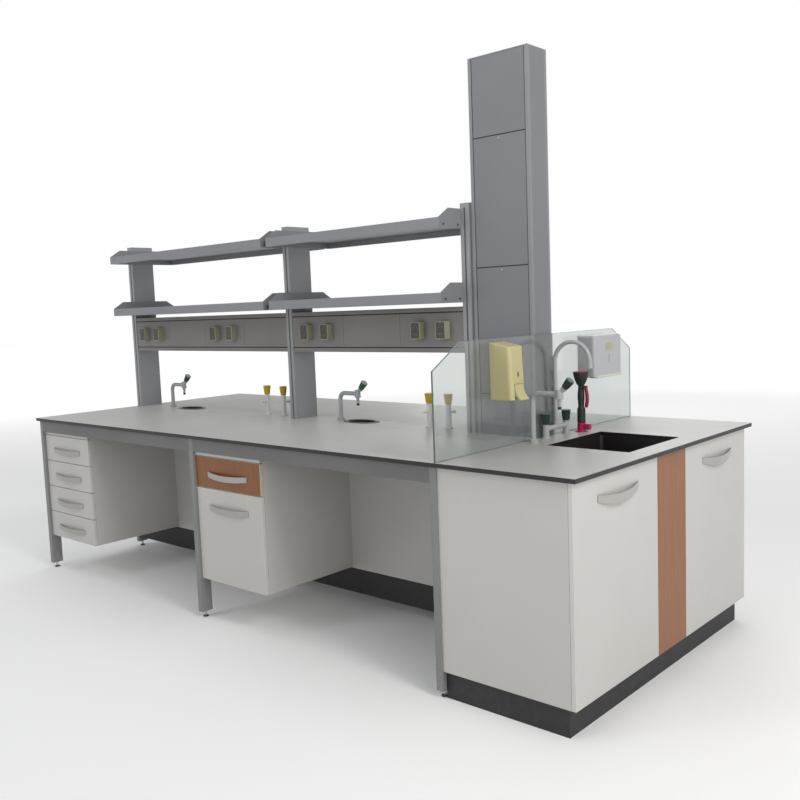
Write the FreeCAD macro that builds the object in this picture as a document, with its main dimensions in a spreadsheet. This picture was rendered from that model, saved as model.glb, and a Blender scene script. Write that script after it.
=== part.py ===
import FreeCAD, Part
import math
import os

import Sketcher

# Double-sided laboratory island bench with pedestals, a sink cabinet at its right end,
# a two-tier reagent rack on the centre line and a service column.
# The frame: X along the bench, the sink end at +X. Y across it, the near side at -Y.
# Z up from the floor. The origin is under the middle of the bench. Lengths in millimetres.

SIZES = {
    # Bench as a whole
    "overall_length": 3624,
    "bench_depth": 1500,
    "worktop_height": 900,
    "overall_height": 2500,
    # Worktops
    "top_thickness": 16,
    "top_seam": 1,
    "spine_top_width": 172,
    "sink_top_length": 591,
    # Welded frames and the rails between them
    "leg_width": 30,
    "leg_depth": 60,
    "leg_setback": 15,
    "leg_wall": 2,
    "rail_height": 64,
    "apron_thickness": 20,
    "rail_wall": 2,
    "foot_height": 30,
    "foot_pad_radius": 14,
    "foot_pad_height": 8,
    "foot_stem_radius": 5,
    # Spine of the bench, between the two sides
    "spine_width": 340,
    "spine_panel_thickness": 18,
    "spine_panel_bottom": 195,
    "spine_plinth_bottom": 64,
    "spine_plinth_thickness": 14,
    "spine_plinth_lap": 20,
    # Hung pedestals
    "pedestal_width": 480,
    "pedestal_height": 620,
    "board": 16,
    "back_board": 8,
    "front_setback": 28,
    "front_thickness": 18,
    "front_gap": 3,
    "front_side_gap": 1,
    "front_seat": 0.5,
    "drawer_count": 4,
    "top_drawer_height": 152,
    # Drawer boxes and their runners
    "drawer_back_gap": 46,
    "drawer_box_height": 110,
    "drawer_board": 12,
    "drawer_bottom": 8,
    "runner_member": 6.3,
    "runner_clearance": 0.4,
    "runner_height": 35,
    # Bow handles
    "handle_length": 288,
    "handle_height": 26,
    "handle_bow": 24,
    "handle_strap": 4,
    "handle_foot": 14,
    "handle_dip": 6,
    "handle_belly": 8,
    "handle_below_middle": 8,
    "door_handle_drop": 88,
    "sink_handle_dip": 11,
    "sink_handle_belly": 20,
    "sink_handle_drop": 80,
    # Sink cabinet
    "cabinet_side_inset": 22,
    "cabinet_end_inset": 24,
    "cabinet_board": 18,
    "cabinet_bottom": 107,
    "cabinet_rail_height": 60,
    "service_strip_width": 243,
    "sink_door_top_gap": 4,
    "service_gap": 1.5,
    "stile_depth": 30,
    "stile_width": 18,
    "plinth_setback": 36,
    "plinth_side_setback": 17,
    "plinth_board": 16,
    # Concealed hinges
    "hinge_length": 60,
    "hinge_width": 14,
    "hinge_height": 24,
    "hinge_end_share": 0.14,
    # Sink basin and its waste
    "sink_end_offset": 94,
    "tap_strip_width": 139,
    "sink_width": 430,
    "sink_centre_shift": 6,
    "basin_depth": 260,
    "basin_wall": 6,
    "basin_flange": 15,
    "waste_radius": 35,
    "waste_lip": 3,
    "waste_fit": 0.3,
    "tailpiece_radius": 20,
    "tailpiece_length": 60,
    "trap_radius": 38,
    "trap_length": 110,
    "trap_outlet_drop": 35,
    # Drain pipes in the space between the two sides
    "drain_radius": 20,
    "drain_branch": 45,
    "drain_from_frame": 30,
    # Oval cup sinks
    "cup_length": 230,
    "cup_width": 128,
    "cup_rim_height": 3,
    "cup_rim_overlap": 11,
    "cup_wall": 6,
    "cup_depth": 105,
    "cup_outlet_radius": 20,
    "cup_outlet_length": 40,
    "cup_fit": 0.5,
    "first_cup_share": 0.3115,
    "second_cup_share": 0.3638,
    # Rack uprights
    "upright_width": 45,
    "upright_depth": 150,
    "upright_height": 985,
    "upright_wall": 3,
    "cap_height": 20,
    "upright_slot_width": 9,
    "upright_slot_depth": 10,
    "first_upright_offset": 29.5,
    "first_bay_share": 0.5576,
    # Shelves
    "shelf_depth": 450,
    "shelf_height": 44,
    "shelf_deck": 16,
    "shelf_lip": 14,
    "shelf_sheet": 1.5,
    "upper_shelf_drop": 44,
    "lower_shelf_rise": 623,
    "end_plate": 3,
    "end_plate_rise": 42,
    "end_plate_slant": 68,
    "screw_radius": 4,
    "screw_head": 2,
    "screw_lift": 16,
    "screw_inset": 30,
    "screw_pitch": 100,
    # Power raceway
    "raceway_gap": 19,
    "raceway_height": 204,
    "raceway_depth": 144,
    "raceway_rail": 20,
    "raceway_wall": 2,
    "raceway_groove": 5,
    "raceway_panel": 8,
    "raceway_sheet": 2,
    "raceway_seam": 1.5,
    "first_bay_panels": 4,
    "second_bay_panels": 3,
    "socket_width": 58,
    "socket_height": 80,
    "socket_depth": 34,
    "socket_face_width": 52,
    "socket_face_height": 74,
    "socket_face_depth": 1.2,
    "socket_pitch": 149,
    "socket_pair_shift": 6,
    # Service column
    "column_length": 300,
    "column_depth": 140,
    "column_gap": 15,
    "column_end_gap": 2,
    "column_post": 15,
    "column_post_wall": 2,
    "column_panel": 3,
    "column_panel_inset": 1.5,
    "column_seam": 3,
    "column_first_share": 0.111,
    "column_panel_share": 0.339,
    "column_cap": 4,
    "filler_setback": 12,
    # Glass screen
    "glass_thickness": 8,
    "glass_height": 433,
    "glass_end_gap": 5,
    "glass_setback": 1,
    "glass_chamfer_length": 170,
    "glass_chamfer_height": 100,
    # Goose-head taps of the cups and the sink
    "tap_flange_radius": 21,
    "tap_flange_height": 6,
    "tap_tube_radius": 11,
    "tap_bend": 32,
    "tap_reach": 126,
    "cup_tap_height": 141,
    "sink_tap_height": 202,
    "first_tap_back": 197,
    "second_tap_back": 145,
    "tap_head_radius": 15,
    "tap_head_length": 34,
    "tap_nozzle_radius": 9,
    "tap_nozzle_tip_radius": 6,
    "tap_nozzle_drop": 48,
    "tap_tip_length": 12,
    "tap_tip_radius": 7,
    "tap_tilt": 42,
    "tap_stem_radius": 8,
    "tap_stem_length": 36,
    "tap_knob_small_radius": 14,
    "tap_knob_large_radius": 18,
    "tap_knob_length": 40,
    "tap_knob_cap_radius": 15,
    "tap_knob_cap_height": 3,
    # Spindles that carry every turning knob
    "knob_clearance": 0.4,
    "spindle_radius": 4,
    "spindle_length": 12,
    "spindle_fit": 0.3,
    # Place of the sink tap
    "sink_tap_back": 58,
    "sink_tap_lateral": 179,
    # Gas taps
    "gas_flange_radius": 20,
    "gas_flange_height": 6,
    "gas_stem_radius": 13,
    "gas_stem_height": 112,
    "gas_nozzle_radius": 6,
    "gas_nozzle_length": 45,
    "gas_nozzle_drop": 38,
    "gas_barb_radius": 8,
    "gas_barb_length": 9,
    "gas_knob_small_radius": 15,
    "gas_knob_large_radius": 21,
    "gas_knob_height": 48,
    "first_gas_share": 0.7984,
    "first_gas_pitch": 137,
    "second_gas_share": 0.7466,
    "second_gas_pitch": 113,
    # Bridge mixer
    "mixer_back": 32,
    "mixer_centre_shift": 36,
    "mixer_leg_pitch": 160,
    "mixer_leg_radius": 14,
    "mixer_foot_radius": 20,
    "mixer_foot_height": 5,
    "mixer_leg_height": 56,
    "mixer_bridge_radius": 11,
    "mixer_bridge_height": 38,
    "mixer_knob_small_radius": 15.5,
    "mixer_knob_large_radius": 20,
    "mixer_knob_height": 46,
    "spout_radius": 9,
    "spout_collar_radius": 13,
    "spout_collar_height": 22,
    "spout_rise": 255,
    "spout_reach": 166,
    "spout_nozzle_radius": 11,
    "spout_nozzle_length": 26,
    # Eyewash
    "eyewash_back": 65,
    "eyewash_lateral": 188,
    "eyewash_flange_radius": 27,
    "eyewash_flange_height": 5,
    "eyewash_socket_radius": 18,
    "eyewash_socket_height": 39,
    "eyewash_socket_bore": 11,
    "eyewash_boss_radius": 13,
    "eyewash_boss_length": 42,
    "eyewash_boss_drop": 17,
    "eyewash_stem_radius": 10.6,
    "eyewash_stem_length": 20,
    "eyewash_grip_radius": 18,
    "eyewash_grip_height": 62,
    "eyewash_rest_gap": 0.5,
    "eyewash_neck_radius": 12,
    "eyewash_neck_height": 98,
    "eyewash_bowl_radius": 33,
    "eyewash_bowl_height": 62,
    "eyewash_bowl_wall": 3,
    "eyewash_bowl_recess": 6,
    "eyewash_lever_width": 16,
    "eyewash_lever_thickness": 7,
    "eyewash_lever_length": 88,
    "eyewash_lever_gap": 8,
    "eyewash_pivot_radius": 3,
    "eyewash_pivot_drop": 6,
    "eyewash_ear": 4,
    "pivot_fit": 0.4,
    # Soap dispenser
    "soap_near_offset": 354,
    "soap_width": 95,
    "soap_depth": 88,
    "soap_nose": 98,
    "soap_bottom": 196,
    "soap_height": 222,
    "soap_top_slope": 16,
    "soap_wall": 3,
    "soap_corner": 18,
    "dispenser_back": 4,
    "soap_lever_width": 56,
    "soap_lever_height": 62,
    "soap_lever_reach": 27,
    "soap_lever_top_reach": 4,
    "soap_lever_tip": 8,
    "soap_window_height": 38,
    "soap_window_gap": 1,
    "soap_pin_radius": 2,
    "soap_barrel_radius": 4,
    "soap_ear": 6,
    "soap_tank_inset": 8,
    "soap_tank_rise": 72,
    # Towel dispenser
    "towel_far_offset": 248,
    "towel_width": 242,
    "towel_depth": 88,
    "towel_bottom": 228,
    "towel_height": 184,
    "towel_wall": 3,
    "towel_corner": 14,
    "towel_slot_width": 4,
    "towel_slot_height": 42,
    "towel_slot_rise": 57,
    "towel_outlet_length": 160,
    "towel_outlet_width": 34,
    "towel_outlet_back": 30,
    "towel_lock_radius": 11,
    "towel_lock_rise": 133,
    "towel_lock_height": 1.5,
    "cover_clearance": 0.4,
}

QUARTER_SAG_SHARE = 1 - math.cos(math.pi / 4)

doc = FreeCAD.newDocument("laboratory_bench")
sheet = doc.addObject("Spreadsheet::Sheet", "sizes")


class Size:
    """A length that carries the formula binding it to the sheet, and its value."""

    def __init__(self, formula, value):
        self.formula = formula
        self.value = value

    def __add__(self, other):
        return combine(self, "+", other)

    def __radd__(self, other):
        return combine(other, "+", self)

    def __sub__(self, other):
        return combine(self, "-", other)

    def __rsub__(self, other):
        return combine(other, "-", self)

    def __mul__(self, other):
        return combine(self, "*", other)

    def __rmul__(self, other):
        return combine(other, "*", self)

    def __truediv__(self, other):
        return combine(self, "/", other)

    def __neg__(self):
        return Size(f"(-{self.formula})", -self.value)


def as_size(value):
    """A plain number, such as zero, a count or a share, as a Size."""
    if isinstance(value, Size):
        return value
    return Size(f"({float(value)!r})", float(value))


def combine(left, sign, right):
    """The sum, difference, product or quotient of two sizes."""
    left = as_size(left)
    right = as_size(right)
    if sign == "+":
        value = left.value + right.value
    elif sign == "-":
        value = left.value - right.value
    elif sign == "*":
        value = left.value * right.value
    else:
        value = left.value / right.value
    return Size(f"({left.formula} {sign} {right.formula})", value)


def fill_sheet():
    """Write the driving dimensions to the sheet, each under its alias."""
    sizes = {}
    for row, (alias, value) in enumerate(SIZES.items(), start=1):
        sheet.set(f"A{row}", alias)
        sheet.set(f"B{row}", str(value))
        sheet.setAlias(f"B{row}", alias)
        sizes[alias] = Size(f"sizes.{alias}", value)
    doc.recompute()
    return sizes


class Named:
    """The driving dimensions as attributes."""

    def __init__(self, sizes):
        self.__dict__.update(sizes)


d = Named(fill_sheet())
nodes = []


def bind(thing, prop, size):
    """Bind one property to the sheet."""
    thing.setExpression(prop, as_size(size).formula)


def place(thing, at):
    """Bind the three coordinates of an object's placement."""
    for axis, size in zip("xyz", at):
        if not (isinstance(size, (int, float)) and size == 0):
            bind(thing, f"Placement.Base.{axis}", size)


def block(name, x, y, z):
    """A board or bar between two places along each axis."""
    solid = doc.addObject("Part::Box", name)
    bind(solid, "Length", x[1] - x[0])
    bind(solid, "Width", y[1] - y[0])
    bind(solid, "Height", z[1] - z[0])
    place(solid, (x[0], y[0], z[0]))
    return solid


def hollow_bar(name, x, y, z, wall, along):
    """A rectangular tube, open at both ends of the axis that it runs along."""
    spans = [(low + wall, high - wall) for low, high in (x, y, z)]
    spans[along] = (x, y, z)[along]
    return cut(name, block(name + "_outside", x, y, z), block(name + "_inside", *spans))


def run_of(x, y, z):
    """Start, length and rotation of a round piece whose one coordinate is a pair of places."""
    for axis, spot in enumerate((x, y, z)):
        if isinstance(spot, tuple):
            start = [x, y, z]
            start[axis] = spot[0]
            return start, spot[1] - spot[0], TURNS[axis]
    raise ValueError("a round piece needs one pair of places")


RIGHT_ANGLE = 90
HALF_TURN = 2 * RIGHT_ANGLE
TURNS = (
    FreeCAD.Rotation(FreeCAD.Vector(0, 1, 0), RIGHT_ANGLE),
    FreeCAD.Rotation(FreeCAD.Vector(1, 0, 0), -RIGHT_ANGLE),
    FreeCAD.Rotation(),
)


def rod(name, x, y, z, radius):
    """A cylinder along the axis whose coordinate is a pair."""
    start, length, turn = run_of(x, y, z)
    solid = doc.addObject("Part::Cylinder", name)
    bind(solid, "Radius", radius)
    bind(solid, "Height", length)
    solid.Placement = FreeCAD.Placement(FreeCAD.Vector(), turn)
    place(solid, start)
    return solid


def cone(name, x, y, z, start_radius, end_radius):
    """A cone along the axis whose coordinate is a pair."""
    start, length, turn = run_of(x, y, z)
    solid = doc.addObject("Part::Cone", name)
    bind(solid, "Radius1", start_radius)
    bind(solid, "Radius2", end_radius)
    bind(solid, "Height", length)
    solid.Placement = FreeCAD.Placement(FreeCAD.Vector(), turn)
    place(solid, start)
    return solid


def bend(name, at, radius, tube, start_angle, sweep):
    """A bent tube in the upright plane along the bench, from start_angle up from +X."""
    solid = doc.addObject("Part::Torus", name)
    bind(solid, "Radius1", radius)
    bind(solid, "Radius2", tube)
    solid.Angle3 = sweep
    upright = FreeCAD.Rotation(FreeCAD.Vector(1, 0, 0), RIGHT_ANGLE)
    start = FreeCAD.Rotation(FreeCAD.Vector(0, 0, 1), start_angle)
    solid.Placement = FreeCAD.Placement(FreeCAD.Vector(), upright.multiply(start))
    place(solid, at)
    return solid


def oval(name, x, y, z, half_length, half_width):
    """An upright oval prism, longer along the bench."""
    ring = doc.addObject("Part::Ellipse", name + "_ring")
    bind(ring, "MajorRadius", half_length)
    bind(ring, "MinorRadius", half_width)
    place(ring, (x, y, z[0]))
    solid = doc.addObject("Part::Extrusion", name)
    solid.Base = ring
    solid.DirMode = "Custom"
    solid.Dir = FreeCAD.Vector(0, 0, 1)
    bind(solid, "LengthFwd", z[1] - z[0])
    solid.Solid = True
    return solid


def cut(name, base, tool):
    """The base with the tool taken out of it."""
    result = doc.addObject("Part::Cut", name)
    result.Base = base
    result.Tool = tool
    return result


def common(name, base, tool):
    """What the base and the tool share."""
    result = doc.addObject("Part::Common", name)
    result.Base = base
    result.Tool = tool
    return result


def fuse(name, pieces):
    """One solid of several that meet."""
    result = doc.addObject("Part::MultiFuse", name)
    result.Shapes = pieces
    return result


def gather(name, pieces):
    """Several solids as one object that keeps them apart."""
    result = doc.addObject("Part::Compound", name)
    result.Links = pieces
    return result


def mirrored(name, source):
    """The same piece on the far side of the bench."""
    result = doc.addObject("Part::Mirroring", name)
    result.Source = source
    result.Normal = FreeCAD.Vector(0, 1, 0)
    return result


def both_sides(name, pieces):
    """Near pieces with their mirror images on the far side."""
    near_pieces = gather(name + "_near", pieces)
    return [near_pieces, mirrored(name + "_far", near_pieces)]


def node(label, pieces):
    """Register one named sub-part made of the given pieces."""
    thing = pieces[0]
    if len(pieces) > 1:
        thing = gather(label, pieces)
    thing.Label = label
    nodes.append(thing)
    return thing


def outline_sketch(body, name, role, corners):
    """A closed outline of lines and arcs; each corner is (u, v, sag of the edge that leaves it)."""
    sketch = body.newObject("Sketcher::SketchObject", name)
    plane = [item for item in body.Origin.OriginFeatures if item.Role == role][0]
    sketch.AttachmentSupport = (plane, [""])
    sketch.MapMode = "FlatFace"
    starts = []
    ends = []
    radii = []
    for index, (u, v, sag) in enumerate(corners):
        next_u, next_v, _ = corners[(index + 1) % len(corners)]
        first = FreeCAD.Vector(as_size(u).value, as_size(v).value, 0)
        last = FreeCAD.Vector(as_size(next_u).value, as_size(next_v).value, 0)
        depth = as_size(sag).value
        if depth == 0:
            edge = Part.LineSegment(first, last)
        else:
            across = last - first
            outward = FreeCAD.Vector(across.y, -across.x, 0).normalize()
            middle = (first + last) / 2 + outward * depth
            ordered = (first, middle, last) if depth > 0 else (last, middle, first)
            edge = Part.Arc(*ordered)
        geometry = sketch.addGeometry(edge, False)
        starts.append((geometry, 2 if depth < 0 else 1))
        ends.append((geometry, 1 if depth < 0 else 2))
        if depth != 0:
            du = next_u - u
            dv = next_v - v
            radius = ((du * du + dv * dv) / 4 + sag * sag) / (2 * sag)
            radii.append((geometry, radius if depth > 0 else -radius))
    for index in range(len(corners)):
        following = starts[(index + 1) % len(corners)]
        sketch.addConstraint(Sketcher.Constraint("Coincident", *ends[index], *following))
    for (geometry, point), (u, v, _) in zip(starts, corners):
        for kind, size in (("DistanceX", u), ("DistanceY", v)):
            size = as_size(size)
            rule = Sketcher.Constraint(kind, -1, 1, geometry, point, size.value)
            sketch.setExpression(f"Constraints[{sketch.addConstraint(rule)}]", size.formula)
    for geometry, radius in radii:
        rule = Sketcher.Constraint("Radius", geometry, radius.value)
        sketch.setExpression(f"Constraints[{sketch.addConstraint(rule)}]", radius.formula)
    return sketch


def profile(name, role, corners, length, at):
    """A body padded from one outline on an origin plane, and set in its place."""
    body = doc.addObject("PartDesign::Body", name)
    sketch = outline_sketch(body, name + "_outline", role, corners)
    pad = body.newObject("PartDesign::Pad", name + "_pad")
    pad.Profile = sketch
    bind(pad, "Length", length)
    place(body, at)
    return body


# Places that several sub-parts share
left = -d.overall_length / 2
right = d.overall_length / 2
near = -d.bench_depth / 2
top = d.worktop_height
underside = top - d.top_thickness
rail_bottom = underside - d.rail_height
sink_top_left = right - d.sink_top_length
main_right = sink_top_left - d.top_seam
cabinet_left = sink_top_left
door_face = right - d.cabinet_end_inset
cabinet_front = door_face - d.front_thickness - d.front_seat
spine_face = -d.spine_width / 2
spine_leg_face = spine_face + d.spine_panel_thickness
front_face = near + d.front_setback
front_back = front_face + d.front_thickness
carcass_front = front_back + d.front_seat
pedestal_bottom = rail_bottom - d.pedestal_height
column_right = main_right - d.column_end_gap
column_left = column_right - d.column_length
column_top = d.overall_height - d.column_cap
first_upright = left + d.first_upright_offset
last_upright = column_left - d.column_gap - d.upright_width / 2
middle_upright = first_upright + (last_upright - first_upright) * d.first_bay_share
upright_centres = [first_upright, middle_upright, last_upright]
frame_centres = [first_upright, middle_upright, cabinet_left - d.leg_width / 2]
drawer_box_depth = spine_face - d.back_board - d.drawer_back_gap - front_back
upper_shelf_level = top + d.upright_height - d.upper_shelf_drop
lower_shelf_level = top + d.lower_shelf_rise
raceway_top = lower_shelf_level - d.shelf_height - d.raceway_gap
raceway_bottom = raceway_top - d.raceway_height
sink_length = d.sink_top_length - d.sink_end_offset - d.tap_strip_width


def along_bay(bay, share):
    """The place at a share of the way from one upright's centre to the next."""
    start = upright_centres[bay]
    return start + (upright_centres[bay + 1] - start) * share


cup_centres = [along_bay(0, d.first_cup_share), along_bay(1, d.second_cup_share)]


def bays(centres, width):
    """The clear spans between neighbouring posts of one width."""
    return [(a + width / 2, b - width / 2) for a, b in zip(centres, centres[1:])]


frame_bays = bays(frame_centres, d.leg_width)
rack_bays = bays(upright_centres, d.upright_width)


def along_legs(x):
    """The four leg spots across the bench at one frame: near, near spine, far spine, far."""
    outer = near + d.leg_setback
    inner = spine_leg_face
    return [outer, inner, -inner - d.leg_depth, -outer - d.leg_depth]


def build_worktops():
    """Near and far worktops, the centre strip with its two oval holes, and the sink top."""
    slab_y = (near, -d.spine_top_width / 2 - d.top_seam)
    slab = block("worktop", (left, main_right), slab_y, (underside, top))
    node("bench_worktops", both_sides("worktop_pair", [slab]))
    strip_y = (-d.spine_top_width / 2, d.spine_top_width / 2)
    strip = block("spine_strip", (left, main_right), strip_y, (underside, top))
    holes = [
        oval(
            "cup_hole", x, 0, (underside - d.top_thickness, top + d.top_thickness),
            d.cup_length / 2 - d.cup_rim_overlap + d.cup_fit,
            d.cup_width / 2 - d.cup_rim_overlap + d.cup_fit,
        )
        for x in cup_centres
    ]
    node("spine_top", [cut("spine_strip_cut", strip, gather("cup_holes", holes))])
    sink_slab = block("sink_slab", (sink_top_left, right), (near, -near), (underside, top))
    opening = block("sink_cut", *sink_area(0), (underside - d.top_thickness, top + d.top_thickness))
    node("sink_worktop", [cut("sink_slab_cut", sink_slab, opening)])


def sink_area(growth):
    """The sink cut-out in plan, made larger all round."""
    x_high = right - d.sink_end_offset
    y_middle = d.sink_centre_shift
    return (
        (x_high - sink_length - growth, x_high + growth),
        (y_middle - d.sink_width / 2 - growth, y_middle + d.sink_width / 2 + growth),
    )


def build_frames():
    """Three welded frames of legs, spine legs and cross rails, as tubes that meet."""
    pieces = []
    for x in frame_centres:
        across = (x - d.leg_width / 2, x + d.leg_width / 2)
        spots = along_legs(x)
        for y in spots:
            pieces.append(leg(across, (y, y + d.leg_depth)))
        for a, b in zip(spots, spots[1:]):
            span = (a + d.leg_depth, b)
            pieces.append(hollow_bar("cross_rail", across, span, (rail_bottom, underside), d.rail_wall, 1))
    node("leg_frames", pieces)


def leg(x, y):
    """A tubular leg, closed at the foot by the plate that the levelling stem screws into."""
    outside = block("leg_outside", x, y, (d.foot_height, underside))
    wall = d.leg_wall
    hollow_x = (x[0] + wall, x[1] - wall)
    hollow_y = (y[0] + wall, y[1] - wall)
    inside = block("leg_inside", hollow_x, hollow_y, (d.foot_height + wall, underside))
    return cut("leg", outside, inside)


def build_rails():
    """Aprons under the long edges and rails along the spine, between the frames."""
    pieces = []
    for x in frame_bays:
        outer = near + d.leg_setback
        for y in (outer, spine_leg_face):
            span = (y, y + d.apron_thickness)
            pieces.append(hollow_bar("rail", x, span, (rail_bottom, underside), d.rail_wall, 0))
    node("aprons", both_sides("apron_pairs", pieces))


def build_feet():
    """A levelling foot under each leg: pad and threaded stem."""
    pieces = []
    for x in frame_centres:
        for y in along_legs(x):
            middle = y + d.leg_depth / 2
            pad = rod("foot_pad", x, middle, (as_size(0), d.foot_pad_height), d.foot_pad_radius)
            stem = rod("foot_stem", x, middle, (d.foot_pad_height, d.foot_height), d.foot_stem_radius)
            pieces.append(fuse("levelling_foot", [pad, stem]))
    node("levelling_feet", pieces)


def build_spine():
    """Back panels of the kneeholes and the dark plinth boards below them."""
    middle = frame_centres[1]
    start = frame_centres[0] - d.leg_width / 2
    end = frame_centres[2] + d.leg_width / 2
    panels = [
        block("spine_panel", x, (spine_face, spine_leg_face), (d.spine_panel_bottom, rail_bottom))
        for x in ((start, middle), (middle, end))
    ]
    node("spine_panels", both_sides("spine_panel_pairs", panels))


def build_plinths():
    """Dark plinth boards along the spine, and the box under the sink cabinet."""
    spine_boards = [
        block(
            "spine_plinth", x, (spine_leg_face, spine_leg_face + d.spine_plinth_thickness),
            (d.spine_plinth_bottom, d.spine_panel_bottom + d.spine_plinth_lap),
        )
        for x in frame_bays
    ]
    plinth_front = door_face - d.plinth_setback
    side_y = near + d.cabinet_side_inset + d.plinth_side_setback
    height = (as_size(0), d.cabinet_bottom)
    side = block("plinth_side", (cabinet_left, plinth_front), (side_y, side_y + d.plinth_board), height)
    pieces = both_sides("plinth_pairs", spine_boards + [side])
    inner = (side_y + d.plinth_board, -side_y - d.plinth_board)
    pieces.append(block("plinth_front", (plinth_front - d.plinth_board, plinth_front), inner, height))
    pieces.append(block("plinth_back", (cabinet_left, cabinet_left + d.plinth_board), inner, height))
    node("plinths", pieces)


def carcass(x0):
    """Top, sides, bottom and back of one hung pedestal whose left side is at x0."""
    x1 = x0 + d.pedestal_width
    inner = (x0 + d.board, x1 - d.board)
    depth = (carcass_front, spine_face)
    floor = pedestal_bottom + d.board
    ceiling = rail_bottom - d.board
    return [
        block("carcass_top", (x0, x1), (front_face, spine_face), (ceiling, rail_bottom)),
        block("carcass_left", (x0, x0 + d.board), depth, (pedestal_bottom, ceiling)),
        block("carcass_right", (x1 - d.board, x1), depth, (pedestal_bottom, ceiling)),
        block("carcass_bottom", inner, depth, (pedestal_bottom, floor)),
        block("carcass_back", inner, (spine_face - d.back_board, spine_face), (floor, ceiling)),
    ]


drawer_pedestal_left = frame_bays[0][0]
cupboard_left = frame_bays[1][0]
front_top = rail_bottom - d.board
drawer_pitch = (d.pedestal_height - d.board) / d.drawer_count
cupboard_split = front_top - d.top_drawer_height


def build_pedestals():
    """Hung pedestals on both sides: a stack of drawers, and a drawer over a cupboard."""
    node("drawer_pedestals", both_sides("drawer_pedestal_pair", carcass(drawer_pedestal_left)))
    inner = (cupboard_left + d.board, cupboard_left + d.pedestal_width - d.board)
    divider = block(
        "divider", inner, (carcass_front, spine_face - d.back_board),
        (cupboard_split - d.front_gap / 2 - d.board / 2, cupboard_split - d.front_gap / 2 + d.board / 2),
    )
    pieces = carcass(cupboard_left) + [divider]
    node("cupboard_pedestals", both_sides("cupboard_pedestal_pair", pieces))


def drawer_spots():
    """Name, pedestal side and the low and high edge of the front of each near drawer."""
    spots = []
    for index in range(int(d.drawer_count.value)):
        low = front_top - (index + 1) * drawer_pitch
        front = (low, low + drawer_pitch - d.front_gap)
        spots.append((f"left_drawer_{index + 1}", drawer_pedestal_left, front))
    high = cupboard_split + d.top_drawer_height - d.front_gap
    spots.append(("right_drawer", cupboard_left, (cupboard_split, high)))
    return spots


def box_height(front):
    """The low and high edge of the drawer box behind a front."""
    low = front[0] + (front[1] - front[0] - d.drawer_box_height) / 2
    return low, low + d.drawer_box_height


def runner_span(front):
    """The low and high edge of the runners of a drawer."""
    low, high = box_height(front)
    middle = (low + high) / 2
    return middle - d.runner_height / 2, middle + d.runner_height / 2


def build_runners():
    """The fixed runner members, a pair in the carcass for each drawer."""
    pieces = []
    for _, x0, front in drawer_spots():
        a = x0 + d.board
        b = x0 + d.pedestal_width - d.board
        for x in ((a, a + d.runner_member), (b - d.runner_member, b)):
            y = (carcass_front, carcass_front + drawer_box_depth)
            pieces.append(block("fixed_runner", x, y, runner_span(front)))
    node("drawer_runners", both_sides("runner_pairs", pieces))


def bow_handle(name, dip, belly):
    """A bowed strap handle that droops in its middle, standing out towards the near side."""
    half = d.handle_length / 2
    strap = profile(
        name + "_strap", "XY_Plane",
        [
            (-half, as_size(0), d.handle_bow),
            (half, as_size(0), 0),
            (half - d.handle_foot, as_size(0), -(d.handle_bow - d.handle_strap)),
            (-half + d.handle_foot, as_size(0), 0),
        ],
        d.handle_height + belly, (0, 0, -d.handle_height / 2 - belly),
    )
    edge = profile(
        name + "_edge", "XZ_Plane",
        [
            (-half, -d.handle_height / 2, belly),
            (half, -d.handle_height / 2, 0),
            (half, d.handle_height / 2, -dip),
            (-half, d.handle_height / 2, 0),
        ],
        d.handle_bow, (0, 0, 0),
    )
    return common(name, strap, edge)


def set_handle(name, dip, belly, at, turn=0):
    """A bow handle in its place, turned about the upright axis."""
    handle = gather(name, [bow_handle(name + "_bow", dip, belly)])
    handle.Placement = FreeCAD.Placement(FreeCAD.Vector(), FreeCAD.Rotation(FreeCAD.Vector(0, 0, 1), turn))
    place(handle, at)
    return handle


def drawer(name, x0, front):
    """One drawer: front, box of five boards, moving runner members and handle."""
    x1 = x0 + d.pedestal_width
    front_x = (x0 + d.front_side_gap, x1 - d.front_side_gap)
    low, high = box_height(front)
    runner_gap = 2 * d.runner_member + d.runner_clearance
    box_x = (x0 + d.board + runner_gap, x1 - d.board - runner_gap)
    inner = (box_x[0] + d.drawer_board, box_x[1] - d.drawer_board)
    box_y = (front_back, front_back + drawer_box_depth)
    back = (box_y[1] - d.drawer_board, box_y[1])
    middle_x = (x0 + x1) / 2
    handle_z = (front[0] + front[1]) / 2 - d.handle_below_middle
    member = runner_span(front)
    return [
        block(name + "_front", front_x, (front_face, front_back), front),
        block(name + "_left", (box_x[0], inner[0]), box_y, (low, high)),
        block(name + "_right", (inner[1], box_x[1]), box_y, (low, high)),
        block(name + "_back", inner, back, (low, high)),
        block(name + "_bottom", inner, (box_y[0], back[0]), (low, low + d.drawer_bottom)),
        block(name + "_left_runner", (box_x[0] - d.runner_member, box_x[0]), box_y, member),
        block(name + "_right_runner", (box_x[1], box_x[1] + d.runner_member), box_y, member),
        set_handle(name + "_handle", d.handle_dip, d.handle_belly, (middle_x, front_face, handle_z)),
    ]


def build_drawers():
    """Every near drawer and its twin on the far side, each a node."""
    for name, x0, front in drawer_spots():
        near_drawer = node("near_" + name, drawer(name, x0, front))
        node("far_" + name, [mirrored("far_" + name, near_drawer)])


def build_cupboard_doors():
    """The door under the single drawer, with its bow handle, on both sides."""
    x = (cupboard_left + d.front_side_gap, cupboard_left + d.pedestal_width - d.front_side_gap)
    door_top = cupboard_split - d.front_gap
    panel = block("cupboard_door_panel", x, (front_face, front_back), (pedestal_bottom, door_top))
    spot = ((x[0] + x[1]) / 2, front_face, door_top - d.door_handle_drop)
    handle = set_handle("cupboard_door_handle", d.handle_dip, d.handle_belly, spot)
    near_door = node("near_cupboard_door", [panel, handle])
    node("far_cupboard_door", [mirrored("far_cupboard_door", near_door)])


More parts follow.
